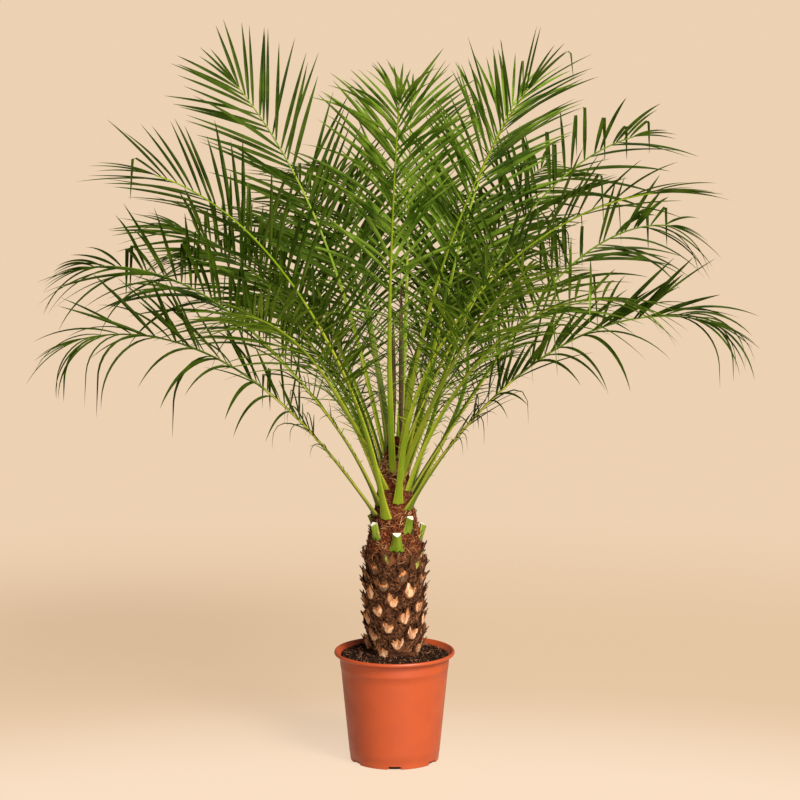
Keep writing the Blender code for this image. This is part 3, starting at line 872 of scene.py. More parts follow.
@dataclass(frozen=True)
class LeafletRule:
    """How leaflets grow from a rib: the solids' rule, with the count of a real frond.

    Attributes:
        start: share of the reach where the blade starts.
        end: share of the reach where the rib ends.
        length: the longest leaflet.
        width: the widest leaflet.
        pairs: leaflets on each side.
        lift: degrees that a leaflet stands up from the blade.
        closed_by_droop: how much each degree of droop closes the leaflets.
        tip_stiffness: share of the droop that the last leaflets lack.
        fold: how steep the two halves of a leaflet stand, in degrees.
        segments: steps along a leaflet.
        hangs_over: a frond that droops more than this has long hanging leaflets.
        upright: a leaflet that starts steeper than this counts as upright.
        stiff_share: share of such a frond's upright leaflets that stay straight.
        low_place: leaflets nearer the blade's foot than this may hang lower.
        low_longer: how much longer those at the very foot may be.
        plume_over: a frond that droops more than this has stiff leaflets standing off its blade.
        plume_end: up to this place on the blade.
        plume_share: share of its leaflets that do.
        plume_lift: how far they stand up, in degrees.
        plume_angle: their angle to the rib, as a share of the usual, and what the place adds.
        plume_length: their length, in the same way.
        plume_size: their droop and width, as shares of the usual.
        plume_others: what the other leaflets' angle is at the foot, and what the place takes.
        angle_scatter: scatter of the angle in degrees, and what a hanging frond adds.
        lift_scatter: scatter of the lift in degrees, and what the foot of the blade adds.
        length_draw: the drawn part of the length.
        width_draw: the drawn part of the width.
        sag_draw: the drawn part of the droop.
        sag_reach: the droop of an upright leaflet, and what a level one adds.
        stiff_sag: the droop of those that stay straight, as a share of the usual.
        low_run: a leaflet that starts lower than this hangs further down.
        low_sag: how much further, as shares of the usual, and once more on a plumed frond.
        hook_at: where a leaflet is folded over, as a share of its length.
        hook_speed: how short the fold is.
        most_sag: share of the way down that a leaflet bends at most.
        seat: where across the rib a leaflet grows, as a share of the rib's width.
        twist: scatter of its twist, in radians.
        tip_length: the drawn length of the last leaflets but the middle one.
        tip_spread: how far they stand apart.
        tip_turn: share of the rib's whole bend that they carry on.
        tip_width: their width, as a share of the usual.
        lengths: length along the blade, as a share of the longest.
        angles: angle to the rib along the blade, in degrees.
        widths: width along the blade, as a share of the widest.
        outline: width along one leaflet.
    """

    start: float = 0.29
    end: float = 0.87
    length: float = 0.285
    width: float = 0.0118
    pairs: int = 33
    lift: float = 16.0
    closed_by_droop: float = 0.004
    tip_stiffness: float = 0.25
    fold: float = 27.0
    segments: int = 12
    hangs_over: float = 34.0
    upright: float = 0.35
    stiff_share: float = 0.45
    low_place: float = 0.4
    low_longer: float = 0.45
    plume_over: float = 55.0
    plume_end: float = 0.8
    plume_share: float = 0.30
    plume_lift: Span = (40.0, 85.0)
    plume_angle: tuple[float, float, float] = (0.5, 0.95, 0.4)
    plume_length: tuple[float, float, float] = (0.45, 0.7, 0.4)
    plume_size: Span = (0.12, 1.1)
    plume_others: Span = (1.35, 0.35)
    angle_scatter: Span = (3.5, 5.0)
    lift_scatter: Span = (9.0, 6.0)
    length_draw: Span = (0.88, 1.04)
    width_draw: Span = (0.85, 1.15)
    sag_draw: Span = (0.55, 1.35)
    sag_reach: Span = (0.3, 0.8)
    stiff_sag: float = 0.2
    low_run: float = 0.1
    low_sag: tuple[float, float, float] = (1.1, 1.9, 1.35)
    hook_at: Span = (0.38, 0.62)
    hook_speed: float = 9.0
    most_sag: float = 0.95
    seat: float = 0.32
    twist: float = 0.3
    tip_length: Span = (0.85, 0.95)
    tip_spread: float = 0.13
    tip_turn: float = 0.25
    tip_width: float = 0.7
    lengths: Steps = ((0.0, 0.62), (0.2, 0.95), (0.35, 1.0), (0.75, 1.0), (1.0, 0.72))
    angles: Steps = ((0.0, 60.0), (0.3, 50.0), (0.75, 43.0), (0.92, 33.0), (1.0, 18.0))
    widths: Steps = ((0.0, 0.45), (0.2, 0.9), (0.35, 1.0), (0.85, 0.95), (1.0, 0.75))
    outline: Steps = (
        (0.0, 0.36), (0.08, 0.62), (0.25, 0.97), (0.45, 1.0), (0.7, 0.74), (0.88, 0.36), (1.0, 0.03),
    )

    def place(self, share: float) -> float:
        """Where a share of the reach lies on the blade, from 0 to 1."""
        return (share - self.start) / (self.end - self.start)


@dataclass
class Crown:
    """All the fronds: their ribs, leaflets and spines, gathered by tone.

    Attributes:
        fronds: the fronds, from the lowest foot up.
        rib_rule: the sizes of their ribs.
        spine_rule: the sizes of their spines.
        rule: the sizes of their leaflets.
        seed: starts the draws.
    """

    fronds: Sequence[Frond] = FRONDS
    rib_rule: RibRule = RibRule()
    spine_rule: SpineRule = SpineRule()
    rule: LeafletRule = LeafletRule()
    seed: int = 11

    def build(self) -> None:
        """Makes the crown's pieces."""
        draws = random.Random(self.seed)
        trunk = self._tree_of(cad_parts["trunk"])
        leaves = {tone: Pile(f"leaflets_{tone.value}", (tone.leaf(),)) for tone in Tone}
        ribs = {tone: Pile(f"ribs_{tone.value}", (tone.rib(), RIB_MARGIN)) for tone in Tone}
        stands_for: dict[Tone, list[str]] = {tone: [] for tone in Tone}
        for number, frond in enumerate(self.fronds, 1):
            rib = Rib(frond, self._seat(frond, trunk), self.rib_rule)
            self._rib(rib, ribs[frond.tone])
            self._spines(rib, ribs[frond.tone], leaves[frond.tone], draws)
            self._blade(rib, leaves[frond.tone], draws)
            name = f"frond_{number:02d}"
            stands_for[frond.tone] += [n for n in (name, f"{name}_outer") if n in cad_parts]
        for tone in Tone:
            leaves[tone].piece(stands_for[tone], crease=18.0, outwards=False)
            ribs[tone].piece(stands_for[tone])

    @staticmethod
    def _tree_of(node: bpy.types.Object) -> BVHTree:
        """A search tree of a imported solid."""
        mesh = node.data
        faces = [tuple(polygon.vertices) for polygon in mesh.polygons]
        return BVHTree.FromPolygons([v.co for v in mesh.vertices], faces)

    def _seat(self, frond: Frond, trunk: BVHTree) -> float:
        """The radius at which a frond's foot meets the trunk, as its solid does.

        Args:
            frond: the frond.
            trunk: a search tree of the trunk's solid.

        Returns:
            The radius of its foot.
        """
        rule, gap = self.rib_rule, self.rib_rule.seat_gap
        radius = along(frond.base, TRUNK.profile) + rule.seat_start
        for _ in range(rule.seat_tries):
            rib = Rib(frond, radius, rule)
            nearest = 1.0
            for share in rule.seat_shares:
                ring = rib.corners(share)
                for a, b in zip(ring, ring[1:] + ring[:1]):
                    for spot in (a, a.lerp(b, 0.25), a.lerp(b, 0.5), a.lerp(b, 0.75)):
                        nearest = min(nearest, trunk.find_nearest(spot)[3])
            if nearest < gap * 1.5:
                break
            radius -= (nearest - gap) * rule.seat_step
        return radius

    def _rib(self, rib: Rib, pile: Pile) -> None:
        """Adds one rib, whose foot sinks into the trunk's fibre."""
        rule = self.rib_rule
        shares = [(k / rule.stations) ** rule.crowding for k in range(rule.stations + 1)]
        stations = [self.rule.end * share for share in shares]
        rings = [rib.ring(share) for share in stations]
        inwards = polar(-rule.sink[0], rib.frond.base_heading, -rule.sink[1])
        first = len(pile.faces)
        pile.tube([[p + inwards for p in rings[0]], *rings])
        for face in range(first, len(pile.faces) - 2):
            row, column = divmod(face - first, rule.sides)
            if column in rule.margins and stations[row] < rule.margin_end:
                pile.numbers[face] = 1

    def _spines(self, rib: Rib, ribs: Pile, leaves: Pile, draws: random.Random) -> None:
        """Adds the spines along the bare foot of a frond, which pass into thin hanging leaflets.

        Args:
            rib: the rib that they grow from.
            ribs: where the spines go.
            leaves: where the thin leaflets go.
            draws: the seeded draws.
        """
        rule = self.spine_rule
        for hand in (-1.0, 1.0):
            share = rule.start
            while share < self.rule.start + rule.past:
                grown = (share - rule.grows_from) / (self.rule.start - rule.grows_from)
                length = draws.uniform(*rule.scatter) * (rule.lengths[0] + rule.lengths[1] * grown**2.0)
                point, tangent, side, upper = rib.place(share)
                spread = math.radians(draws.uniform(*rule.spread))
                out = side * hand * math.sin(spread) + tangent * math.cos(spread)
                out += upper * draws.uniform(*rule.lift)
                root = point + side * (hand * rib.width(share) * rule.seat)
                soft = grown > rule.soft_from or draws.random() < rule.soft_share
                sag = draws.uniform(*rule.sag) * grown
                if rib.frond.droop > self.rule.plume_over:
                    sag, length = sag * rule.drooping[0], length * rule.drooping[1]
                self._spine(leaves if soft else ribs, root, out.normalized(), length, sag)
                share += draws.uniform(*rule.gaps)

    def _spine(self, pile: Pile, root: Vector, run: Vector, length: float, sag: float) -> None:
        """Adds one thin three-sided spine.

        Args:
            pile: where it goes.
            root: where it starts.
            run: its first direction.
            length: its length.
            sag: how far it turns down, as a share of the way.
        """
        rule = self.spine_rule
        rings = []
        spot = root
        for k in range(rule.steps + 1):
            share = k / rule.steps
            bent = run.lerp(DOWN, min(rule.most_sag, sag * share * share * 0.6)).normalized()
            full = min(1.0, (1.0 - share) * rule.taper) * (rule.widths[0] + rule.widths[1] * length)
            side = bent.cross(UP).normalized() * (full + rule.point)
            above = side.cross(bent).normalized() * side.length
            inner = spot - side * 0.5
            rings.append([spot + side, inner + above * 0.8, inner - above * 0.8])
            spot = spot + bent * (length / rule.steps)
        pile.tube(rings)

    def _blade(self, rib: Rib, pile: Pile, draws: random.Random) -> None:
        """Adds every leaflet of one frond."""
        rule = self.rule
        step = (rule.end - rule.start) / rule.pairs
        for hand in (-1.0, 1.0):
            for k in range(rule.pairs):
                if draws.random() < rib.frond.gaps:
                    continue
                share = rule.start + step * (k + 0.5 + draws.uniform(-0.3, 0.3))
                self._leaflet(rib, pile, share, hand, draws)
        for hand in (-1.0, 0.0, 1.0):
            self._tip_leaflet(rib, pile, hand, draws)

    def _leaflet(self, rib: Rib, pile: Pile, share: float, hand: float, draws: random.Random) -> None:
        """Adds one leaflet.

        Args:
            rib: the rib that it grows from.
            pile: where it goes.
            share: where on the reach it grows.
            hand: -1 or 1 for its side.
            draws: the seeded draws.
        """
        rule, droop = self.rule, rib.frond.droop
        place = rule.place(share)
        point, tangent, side, upper = rib.place(share)
        angle = math.radians(along(place, rule.angles)) * (1.0 - rule.closed_by_droop * droop)
        hanging, plumed = droop > rule.hangs_over, droop > rule.plume_over
        scatter = rule.angle_scatter[0] + rule.angle_scatter[1] * hanging
        angle += math.radians(draws.gauss(0.0, scatter))
        scatter = rule.lift_scatter[0] + rule.lift_scatter[1] * (1.0 - place)
        lift = math.radians(rule.lift + draws.gauss(0.0, scatter))
        stands = plumed and place < rule.plume_end and draws.random() < rule.plume_share
        if stands:
            lift = math.radians(draws.uniform(*rule.plume_lift))
            low, high, more = rule.plume_angle
            angle *= draws.uniform(low, high) + more * place
        elif plumed:
            angle *= rule.plume_others[0] - rule.plume_others[1] * place
        raised = side * (hand * math.cos(lift)) + upper * math.sin(lift)
        run = tangent * math.cos(angle) + raised * math.sin(angle)
        length = rule.length * along(place, rule.lengths) * draws.uniform(*rule.length_draw)
        sag = math.radians(droop) * (1.0 - rule.tip_stiffness * place) * draws.uniform(*rule.sag_draw)
        sag *= rule.sag_reach[0] + rule.sag_reach[1] * Vector((run.x, run.y)).length
        if stands:
            sag *= rule.plume_size[0]
            low, high, more = rule.plume_length
            length *= draws.uniform(low, high) + more * place
        elif hanging and run.z > rule.upright and draws.random() < rule.stiff_share:
            sag *= rule.stiff_sag
        elif hanging and run.z < rule.low_run:
            low, high, more = rule.low_sag
            sag *= draws.uniform(low, high) * (more if plumed else 1.0)
            near_foot = max(0.0, 1.0 - place / rule.low_place)
            length *= 1.0 + draws.uniform(0.0, rule.low_longer) * near_foot
        folded = run.z > rule.upright and not stands and draws.random() < rib.frond.hooks
        hook = draws.uniform(*rule.hook_at) if folded else None
        width = rule.width * rib.frond.slim * draws.uniform(*rule.width_draw) * along(place, rule.widths)
        width *= rule.plume_size[1] if stands else 1.0
        root = point + side * (hand * rib.width(share) * rule.seat)
        flat = (side if stands else upper).cross(run).normalized()
        self._strip(pile, root, run, flat, length, width, sag, hook, draws.gauss(0.0, rule.twist))

    def _tip_leaflet(self, rib: Rib, pile: Pile, hand: float, draws: random.Random) -> None:
        """Adds one of the last leaflets, which carry on along the rib's own curve."""
        rule = self.rule
        point, tangent, side, _ = rib.place(rule.end)
        shorter = 1.0 if hand == 0.0 else draws.uniform(*rule.tip_length)
        length = rib.frond.reach * (1.0 - rule.end) * shorter
        run = (tangent + side * (hand * rule.tip_spread)).normalized()
        turn = math.radians((rib.frond.rise - rib.frond.dip) * rule.tip_turn)
        self._strip(pile, point, run, side, length, rule.width * rule.tip_width, turn, None, 0.0)

    def _strip(
        self,
        pile: Pile,
        root: Vector,
        run: Vector,
        flat: Vector,
        length: float,
        width: float,
        sag: float,
        hook: float | None,
        twist: float,
    ) -> None:
        """Adds one folded leaf blade.

        Args:
            pile: where it goes.
            root: where it starts.
            run: its first direction.
            flat: the direction across it.
            length: its length.
            width: its widest.
            sag: how far it turns down by its tip, in radians.
            hook: share of its length at which it is folded over, or None.
            twist: how far it twists by its tip, in radians.
        """
        rule = self.rule
        count = rule.segments if hook is None else rule.segments * 2
        fold = math.radians(rule.fold)
        points: list[Vector] = []
        spot = root
        for k in range(count + 1):
            share = k / count
            axis = run.cross(DOWN)
            wanted = sag * share
            if hook is not None and share > hook:
                wanted += math.pi * eased((share - hook) * rule.hook_speed)
            limit = min(wanted, run.angle(DOWN) * rule.most_sag)
            bent = Quaternion(axis.normalized(), limit) @ run if axis.length > 1e-6 else run
            across = flat - bent * flat.dot(bent)
            across = Quaternion(bent, twist * share) @ across.normalized()
            above = across.cross(bent)
            if above.z < 0.0:
                above = -above
            half = width * 0.5 * along(share, rule.outline)
            wing = across * (half * math.cos(fold))
            rise = above * (half * math.sin(fold))
            points += [spot + wing + rise, spot, spot - wing + rise]
            spot = spot + bent * (length / count)
        faces = []
        for k in range(count):
            a, b = 3 * k, 3 * k + 3
            faces += [(a, a + 1, b + 1, b), (a + 1, a + 2, b + 2, b + 1)]
        pile.add(points, faces)


# ---------------------------------------------------------------- trunk


class BaseKind(Enum):
    """What a cut leaf base looks like, from the oldest up."""

    PALE = "pale"
    GREY = "grey"
    GREENISH = "greenish"


@dataclass(frozen=True)
class CutRule:
    """How the cut of one kind of leaf base looks.

    Attributes:
        skins: the finishes of its lower part and of its torn upper part.
        wide: its half width, as a share of the base's.
        off_middle: how far it may lie to one side, as a share of what it leaves free.
        top: how far up it reaches.
    """

    skins: tuple[int, int]
    wide: float
    off_middle: float
    top: Span


CUTS = {
    BaseKind.PALE: CutRule((1, 4), 0.86, 0.0, (0.93, 0.99)),
    BaseKind.GREY: CutRule((2, 4), 0.70, 0.45, (0.7, 0.9)),
    BaseKind.GREENISH: CutRule((3, 2), 0.36, 0.45, (0.7, 0.9)),
}


@dataclass
class Trunk:
    """The trunk: a fibrous core with its spiral of cut leaf bases, stubs and loose fibre.

    Attributes:
        profile: (height, radius) of the core, as its solid has them.
        spiral_turn: from one leaf base to the next one up, in degrees.
        spiral_rise: from one leaf base to the next one up.
        spiral_start: a height, and the heading of the leaf base there.
        base_heights: the lowest and the highest leaf base.
        pale_below: leaf bases below this height have a pale cut.
        grey_below: those below this height are grey, and the rest greenish.
        stub_start: height and heading of the lowest green stub.
        stub_rise: from one stub to the next one up.
        stubs: their count.
        stub_levels: (share of its height, width, depth) of a stub.
        stub_section: (across, outwards) points round a stub, as shares of width and depth.
        scales: count of the loose scales.
        scale_heights: the lowest and the highest of them.
        sides: points round the core.
        rows: rings of the core.
        inset: the core's own radius, as a share of its solid's.
        red_above: the height where its fibre turns red.
        shag: how far the fibre stands out at the soil, and how far up.
        seed: starts the draws.
    """

    profile: Steps = (
        (0.2934, 0.063),
        (0.340, 0.069),
        (0.450, 0.073),
        (0.560, 0.072),
        (0.620, 0.061),
        (0.680, 0.047),
        (0.750, 0.036),
        (0.800, 0.027),
        (0.845, 0.019),
        (0.870, 0.012),
    )
    spiral_turn: float = -137.5
    spiral_rise: float = 0.0054
    spiral_start: Span = (0.452, -90.0)
    base_heights: Span = (0.311, 0.578)
    pale_below: float = 0.490
    grey_below: float = 0.545
    stub_start: Span = (0.588, -85.0)
    stub_rise: float = 0.009
    stubs: int = 8
    stub_levels: tuple[tuple[float, float, float], ...] = (
        (0.0, 0.043, 0.011),
        (0.10, 0.038, 0.013),
        (0.3, 0.030, 0.015),
        (0.6, 0.025, 0.016),
        (1.0, 0.0225, 0.0165),
    )
    stub_section: Steps = (
        (-0.50, 0.00), (-0.46, 0.24), (-0.33, 0.56), (-0.16, 0.86), (0.00, 1.00), (0.16, 0.86),
        (0.33, 0.56), (0.46, 0.24), (0.50, 0.00), (0.30, -0.16), (0.00, -0.20), (-0.30, -0.16),
    )
    scales: int = 420
    scale_heights: Span = (0.298, 0.665)
    sides: int = 168
    rows: int = 190
    inset: float = 0.985
    red_above: float = 0.575
    shag: Span = (0.006, 0.045)
    seed: int = 5

    def radius(self, height: float) -> float:
        """The core's radius at a height."""
        return along(height, self.profile)

    def axes(self, heading: float) -> tuple[Vector, Vector]:
        """The outward and the sideways direction at a heading."""
        out = polar(1.0, heading, 0.0)
        return out, UP.cross(out)

    def build(self) -> None:
        """Makes the trunk's pieces."""
        draws = random.Random(self.seed)
        self._core()
        self._bases(draws)
        self._stubs(draws)
        self._scales(draws)
        self._fibre("coir_red", COIR_RED, 2100, (0.555, 0.800), 0.0050, draws)
        self._fibre("coir_pale", COIR_PALE, 260, (0.540, 0.800), 0.0060, draws)
        self._fibre("coir_ties", COIR_PALE, 120, (0.762, 0.815), 0.0140, draws)
        self._fibre("coir_dark", COIR_DARK, 1700, (0.297, 0.600), 0.0035, draws)

    def _core(self) -> None:
        """Adds the core, with the relief of its fibre mat in the mesh."""
        low, high = self.profile[0][0] - 0.004, self.profile[-1][0]
        pile = Pile("trunk_core", (CORE_DARK, CORE_RED))
        rings = []
        for row in range(self.rows + 1):
            height = low + (high - low) * row / self.rows
            ring = []
            for k in range(self.sides):
                heading = 360.0 * k / self.sides
                spot = polar(self.radius(height), heading, height)
                coarse = noise.fractal(spot * 55.0, 0.8, 2.1, 3)
                slanting = (spot.x * 120.0 + spot.z * 60.0, spot.y * 120.0, spot.z * 260.0)
                strand = noise.noise(Vector(slanting))
                shag = self.shag[0] * max(0.0, 1.0 - (height - low) / self.shag[1])
                out = 0.0030 * coarse + 0.0014 * strand + shag * (1.0 + 0.5 * coarse)
                ring.append(polar(self.radius(height) * self.inset + out, heading, height))
            rings.append(ring)
        split = int(self.rows * (self.red_above - low) / (high - low))
        pile.tube(rings[: split + 1], 0, (True, False))
        pile.tube(rings[split:], 1, (False, True))
        pile.piece(["trunk"], crease=60.0)

    def _bases(self, draws: random.Random) -> None:
        """Adds the cut leaf bases, each by its height on the spiral."""
        pile = Pile("leaf_bases", (BASE_BARK, CUT_PALE, CUT_GREY, CUT_GREEN, CUT_TAN))
        first = math.ceil((self.base_heights[0] - self.spiral_start[0]) / self.spiral_rise)
        last = math.floor((self.base_heights[1] - self.spiral_start[0]) / self.spiral_rise)
        for k in range(first, last + 1):
            height = self.spiral_start[0] + self.spiral_rise * k
            heading = self.spiral_start[1] + self.spiral_turn * k
            if height < self.pale_below:
                kind = BaseKind.PALE
            else:
                kind = BaseKind.GREY if height < self.grey_below else BaseKind.GREENISH
            self._base(pile, height, heading + draws.uniform(-3.0, 3.0), kind, draws)
        pile.piece(crease=35.0)

    def _base(
        self, pile: Pile, height: float, heading: float, kind: BaseKind, draws: random.Random
    ) -> None:
        """Adds one cut leaf base: a hooded shield with torn points above and a pale cut face.

        Args:
            pile: where it goes.
            height: where its middle is.
            heading: the way it faces.
            kind: what it looks like.
            draws: the seeded draws.
        """
        shield = self._shield(height, heading, draws)
        columns, rows = 16, 11
        rings = []
        for row in range(rows + 1):
            v = row / rows
            thick = 0.0110 - 0.0085 * v
            front = [shield(-1.0 + 2.0 * c / columns, v, 0.0) for c in range(columns + 1)]
            back = [shield(0.96 - 1.92 * c / columns, v, -thick) for c in range(columns + 1)]
            rings.append(front + back)
        pile.tube(rings, 0)
        cut = CUTS[kind]
        wide = cut.wide * draws.uniform(0.9, 1.05)
        shift = draws.choice((-cut.off_middle, cut.off_middle)) * (1.0 - wide) if cut.off_middle else 0.0
        top = draws.uniform(*cut.top)
        self._face(pile, shield, (shift, wide), (0.05, top), cut.skins, draws)
        out, side = self.axes(heading)
        for _ in range(9):
            u, v = draws.choice((-1.0, 1.0)) * draws.uniform(0.88, 1.0), draws.uniform(0.1, 1.0)
            run = out * draws.uniform(0.15, 0.55) + UP + side * (u * draws.uniform(-0.1, 0.5))
            root = shield(u, v, -0.0015)
            self._scale(pile, root, run.normalized(), out, draws.uniform(0.008, 0.021), 0, draws)

    def _shield(
        self, height: float, heading: float, draws: random.Random
    ) -> Callable[[float, float, float], Vector]:
        """The outer surface of one leaf base.

        Args:
            height: where its middle is.
            heading: the way it faces.
            draws: the seeded draws.

        Returns:
            A point of the surface by place across (-1 to 1), place up (0 to 1) and height above it.
        """
        half = draws.uniform(0.0185, 0.0220)
        tall = draws.uniform(0.050, 0.060)
        hand = draws.choice((-1.0, 1.0))
        spikes = (
            (hand * draws.uniform(0.35, 0.80), draws.uniform(0.24, 0.50), draws.uniform(0.28, 0.46)),
            (-hand * draws.uniform(0.25, 0.85), draws.uniform(0.06, 0.36), draws.uniform(0.20, 0.36)),
            (draws.uniform(-0.25, 0.25), draws.uniform(0.0, 0.26), 0.22),
        )
        lean, corner = draws.uniform(-0.10, 0.10), draws.uniform(-0.25, 0.25)
        flare = draws.uniform(0.006, 0.010)
        grain = Vector((draws.uniform(0.0, 50.0), draws.uniform(0.0, 50.0), 0.0))
        outline = ((0.0, 0.70), (0.15, 0.90), (0.35, 1.0), (0.75, 0.95), (1.0, 0.86))
        out, side = self.axes(heading)

        def place(u: float, v: float, above: float) -> Vector:
            """One point of the surface."""
            edge = 0.55 + sum(rise * max(0.0, 1.0 - abs(u - at) / wide) for at, rise, wide in spikes)
            low = 0.15 * abs(u + corner * (1.0 - abs(u))) ** 1.6
            up = -0.5 + low + (edge - low) * v
            across = half * along(v, outline)
            stand = 0.0072 + flare * v**1.25 - 0.19 * half * u * u - 0.0014 * (1.0 - u * u)
            streak = 0.0009 * noise.noise(grain + Vector((u * 9.0, v * 2.2, 0.0))) * min(1.0, 6.0 * v)
            spot = out * (self.radius(height) + stand + streak + above)
            return spot + side * ((u + lean * v) * across) + UP * (height + up * tall)

        return place

    @staticmethod
    def _face(
        pile: Pile,
        shield: Callable[[float, float, float], Vector],
        span: Span,
        reach: Span,
        skins: tuple[int, int],
        draws: random.Random,
    ) -> None:
        """Adds the cut face of a leaf base, as a thin worn plate on its shield.

        Args:
            pile: where it goes.
            shield: the surface that it lies on.
            span: the middle and the half width of the face.
            reach: how far up it starts and ends.
            skins: the finishes of its lower part and of its torn upper part.
            draws: the seeded draws.
        """
        columns, rows = 12, 12
        middle, half = span
        grain = Vector((draws.uniform(0.0, 50.0), draws.uniform(0.0, 50.0), 0.0))
        foot = draws.uniform(0.2, 0.62)
        points: list[Vector] = []
        for row in range(rows + 1):
            v = reach[0] + (reach[1] - reach[0]) * row / rows
            wide = half * along(row / rows, ((0.0, foot), (0.18, foot * 0.5 + 0.5), (0.5, 1.0), (1.0, 0.9)))
            worn = 0.10 * noise.noise(grain + Vector((0.0, v * 6.0, 0.0)))
            for c in range(columns + 1):
                u = -1.0 + 2.0 * c / columns
                ragged = 1.0 + 0.35 * noise.noise(grain + Vector((math.copysign(3.0, u), v * 9.0, 7.0)))
                rim = c in (0, columns) or row in (0, rows)
                cut = 0.0008 * noise.noise(grain + Vector((u * 7.0, v * 3.0, 4.0)))
                above = -0.0015 if rim else 0.0008 + cut
                points.append(shield(middle + (u * ragged + worn) * wide, v, above))
        faces, numbers = [], []
        for row in range(rows):
            for c in range(columns):
                k = row * (columns + 1) + c
                faces.append((k, k + 1, k + columns + 2, k + columns + 1))
                torn = row / rows + 0.45 * noise.noise(grain + Vector((c * 0.55, row * 0.16, 9.0)))
                numbers.append(skins[1] if torn > 0.62 else skins[0])
        pile.add(points, faces, numbers)

    def _stubs(self, draws: random.Random) -> None:
        """Adds the green stubs of the last fronds that were cut, with white cut tops."""
        pile = Pile("green_stubs", (STUB_GREEN, STUB_EDGE, STUB_CUT))
        levels, section = self.stub_levels, self.stub_section
        for k in range(self.stubs):
            height = self.stub_start[0] + self.stub_rise * k
            heading = self.stub_start[1] + self.spiral_turn * k
            out, side = self.axes(heading)
            size = 1.0 if k == 0 else 0.86 if k < 6 else 0.62
            tall = draws.uniform(0.044, 0.048) * size
            rings = []
            for share, width, depth in levels:
                middle = out * (self.radius(height) + 0.007 * share) + UP * (height - 0.006 + tall * share)
                ring = []
                for across, over in section:
                    full = over
                    if share <= 0.5:
                        full += (math.sqrt(max(0.0, over)) - over) * 0.6 * (1.0 - share * 2.0)
                    lobe = 0.0065 * max(0.0, 1.0 - share / 0.12) * abs(math.cos(1.5 * math.pi * across / 0.5))
                    slant = 0.0075 * share**3 * max(0.0, over)
                    off = side * (across * width) + out * (full * depth)
                    ring.append(middle + off * size - UP * (slant + lobe))
                rings.append(ring)
            pile.tube(rings, 0, (True, False))
            count = len(section)
            for face in range(len(pile.faces) - (len(levels) - 1) * count - 1, len(pile.faces)):
                corners = pile.faces[face]
                if len(corners) == 4 and (corners[0] - len(pile.points)) % count in (0, 7):
                    pile.numbers[face] = 1
            centre = sum(rings[-1], Vector()) / count - UP * 0.0012
            pile.add([*rings[-1], centre], [(c, (c + 1) % count, count) for c in range(count)], 2)
        pile.piece(crease=30.0)

    def _scales(self, draws: random.Random) -> None:
        """Adds the ragged dark scales that stick out between the leaf bases."""
        pile = Pile("ragged_scales", (SCALE_DARK, SCALE_BROWN))
        for _ in range(self.scales):
            height = draws.uniform(*self.scale_heights)
            out, side = self.axes(draws.uniform(0.0, 360.0))
            run = (out * draws.uniform(0.10, 0.50) + UP + side * draws.uniform(-0.5, 0.5)).normalized()
            root = out * (self.radius(height) - 0.002) + UP * height
            length = draws.uniform(0.012, 0.030)
            self._scale(pile, root, run, out, length, 1 if draws.random() < 0.35 else 0, draws)
        pile.piece(crease=50.0)

    @staticmethod
    def _scale(
        pile: Pile, root: Vector, run: Vector, out: Vector, length: float, skin: int, draws: random.Random
    ) -> None:
        """Adds one torn scale of bark.

        Args:
            pile: where it goes.
            root: where it starts.
            run: its direction.
            out: the direction away from the trunk.
            length: its length.
            skin: the number of its finish.
            draws: the seeded draws.
        """
        width = draws.uniform(0.003, 0.008)
        across = run.cross(out).normalized()
        thick = across.cross(run).normalized() * 0.0009
        rings = []
        for share, wide in ((0.0, 1.0), (0.4, 0.9), (0.75, 0.6), (1.0, 0.15)):
            middle = root + run * (length * share) + out * (0.004 * share * share)
            half = across * (width * 0.5 * wide * draws.uniform(0.8, 1.2))
            left, right = middle - half, middle + half
            rings.append([right + thick, left + thick, left - thick, right - thick])
        pile.tube(rings, skin)

    def _fibre(
        self, name: str, skin: Finish, count: int, heights: Span, stand: float, draws: random.Random
    ) -> None:
        """Adds loose curly fibres on the core.

        Args:
            name: the piece's name.
            skin: its finish.
            count: how many fibres.
            heights: the lowest and the highest start.
            stand: how far they stand off the core.
            draws: the seeded draws.
        """
        pile = Pile(name, (skin,))
        steps, corners = 9, (0.0, 2.094, 4.189)
        for _ in range(count):
            height = draws.uniform(*heights)
            heading = draws.uniform(0.0, 360.0)
            slope = math.atan(draws.gauss(0.15, 0.8))
            length = draws.uniform(0.018, 0.050)
            thick = draws.uniform(0.0005, 0.0011)
            wave, phase = draws.uniform(0.001, 0.004), draws.uniform(0.0, math.tau)
            off = draws.uniform(0.3, 1.0) * stand
            spots = []
            for k in range(steps + 1):
                share = k / steps
                climb = math.sin(slope) * length * share + wave * math.sin(phase + share * 7.0)
                turn = math.degrees(math.cos(slope) * length * share / max(0.02, self.radius(height)))
                here = max(self.profile[0][0], height + climb)
                arch = off * math.sin(math.pi * share) + 0.001 + wave * 0.4 * math.cos(phase + share * 9.0)
                spots.append(polar(self.radius(here) + arch, heading + turn, here))
            rings = []
            for k, spot in enumerate(spots):
                run = (spots[min(k + 1, steps)] - spots[max(k - 1, 0)]).normalized()
                across = run.cross(UP).normalized() if abs(run.z) < 0.98 else Vector((1.0, 0.0, 0.0))
                over = across.cross(run)
                size = thick * (0.35 if k in (0, steps) else 1.0)
                ways = [across * math.cos(angle) + over * math.sin(angle) for angle in corners]
                rings.append([spot + way * size for way in ways])
            pile.tube(rings)
        pile.piece(crease=70.0)


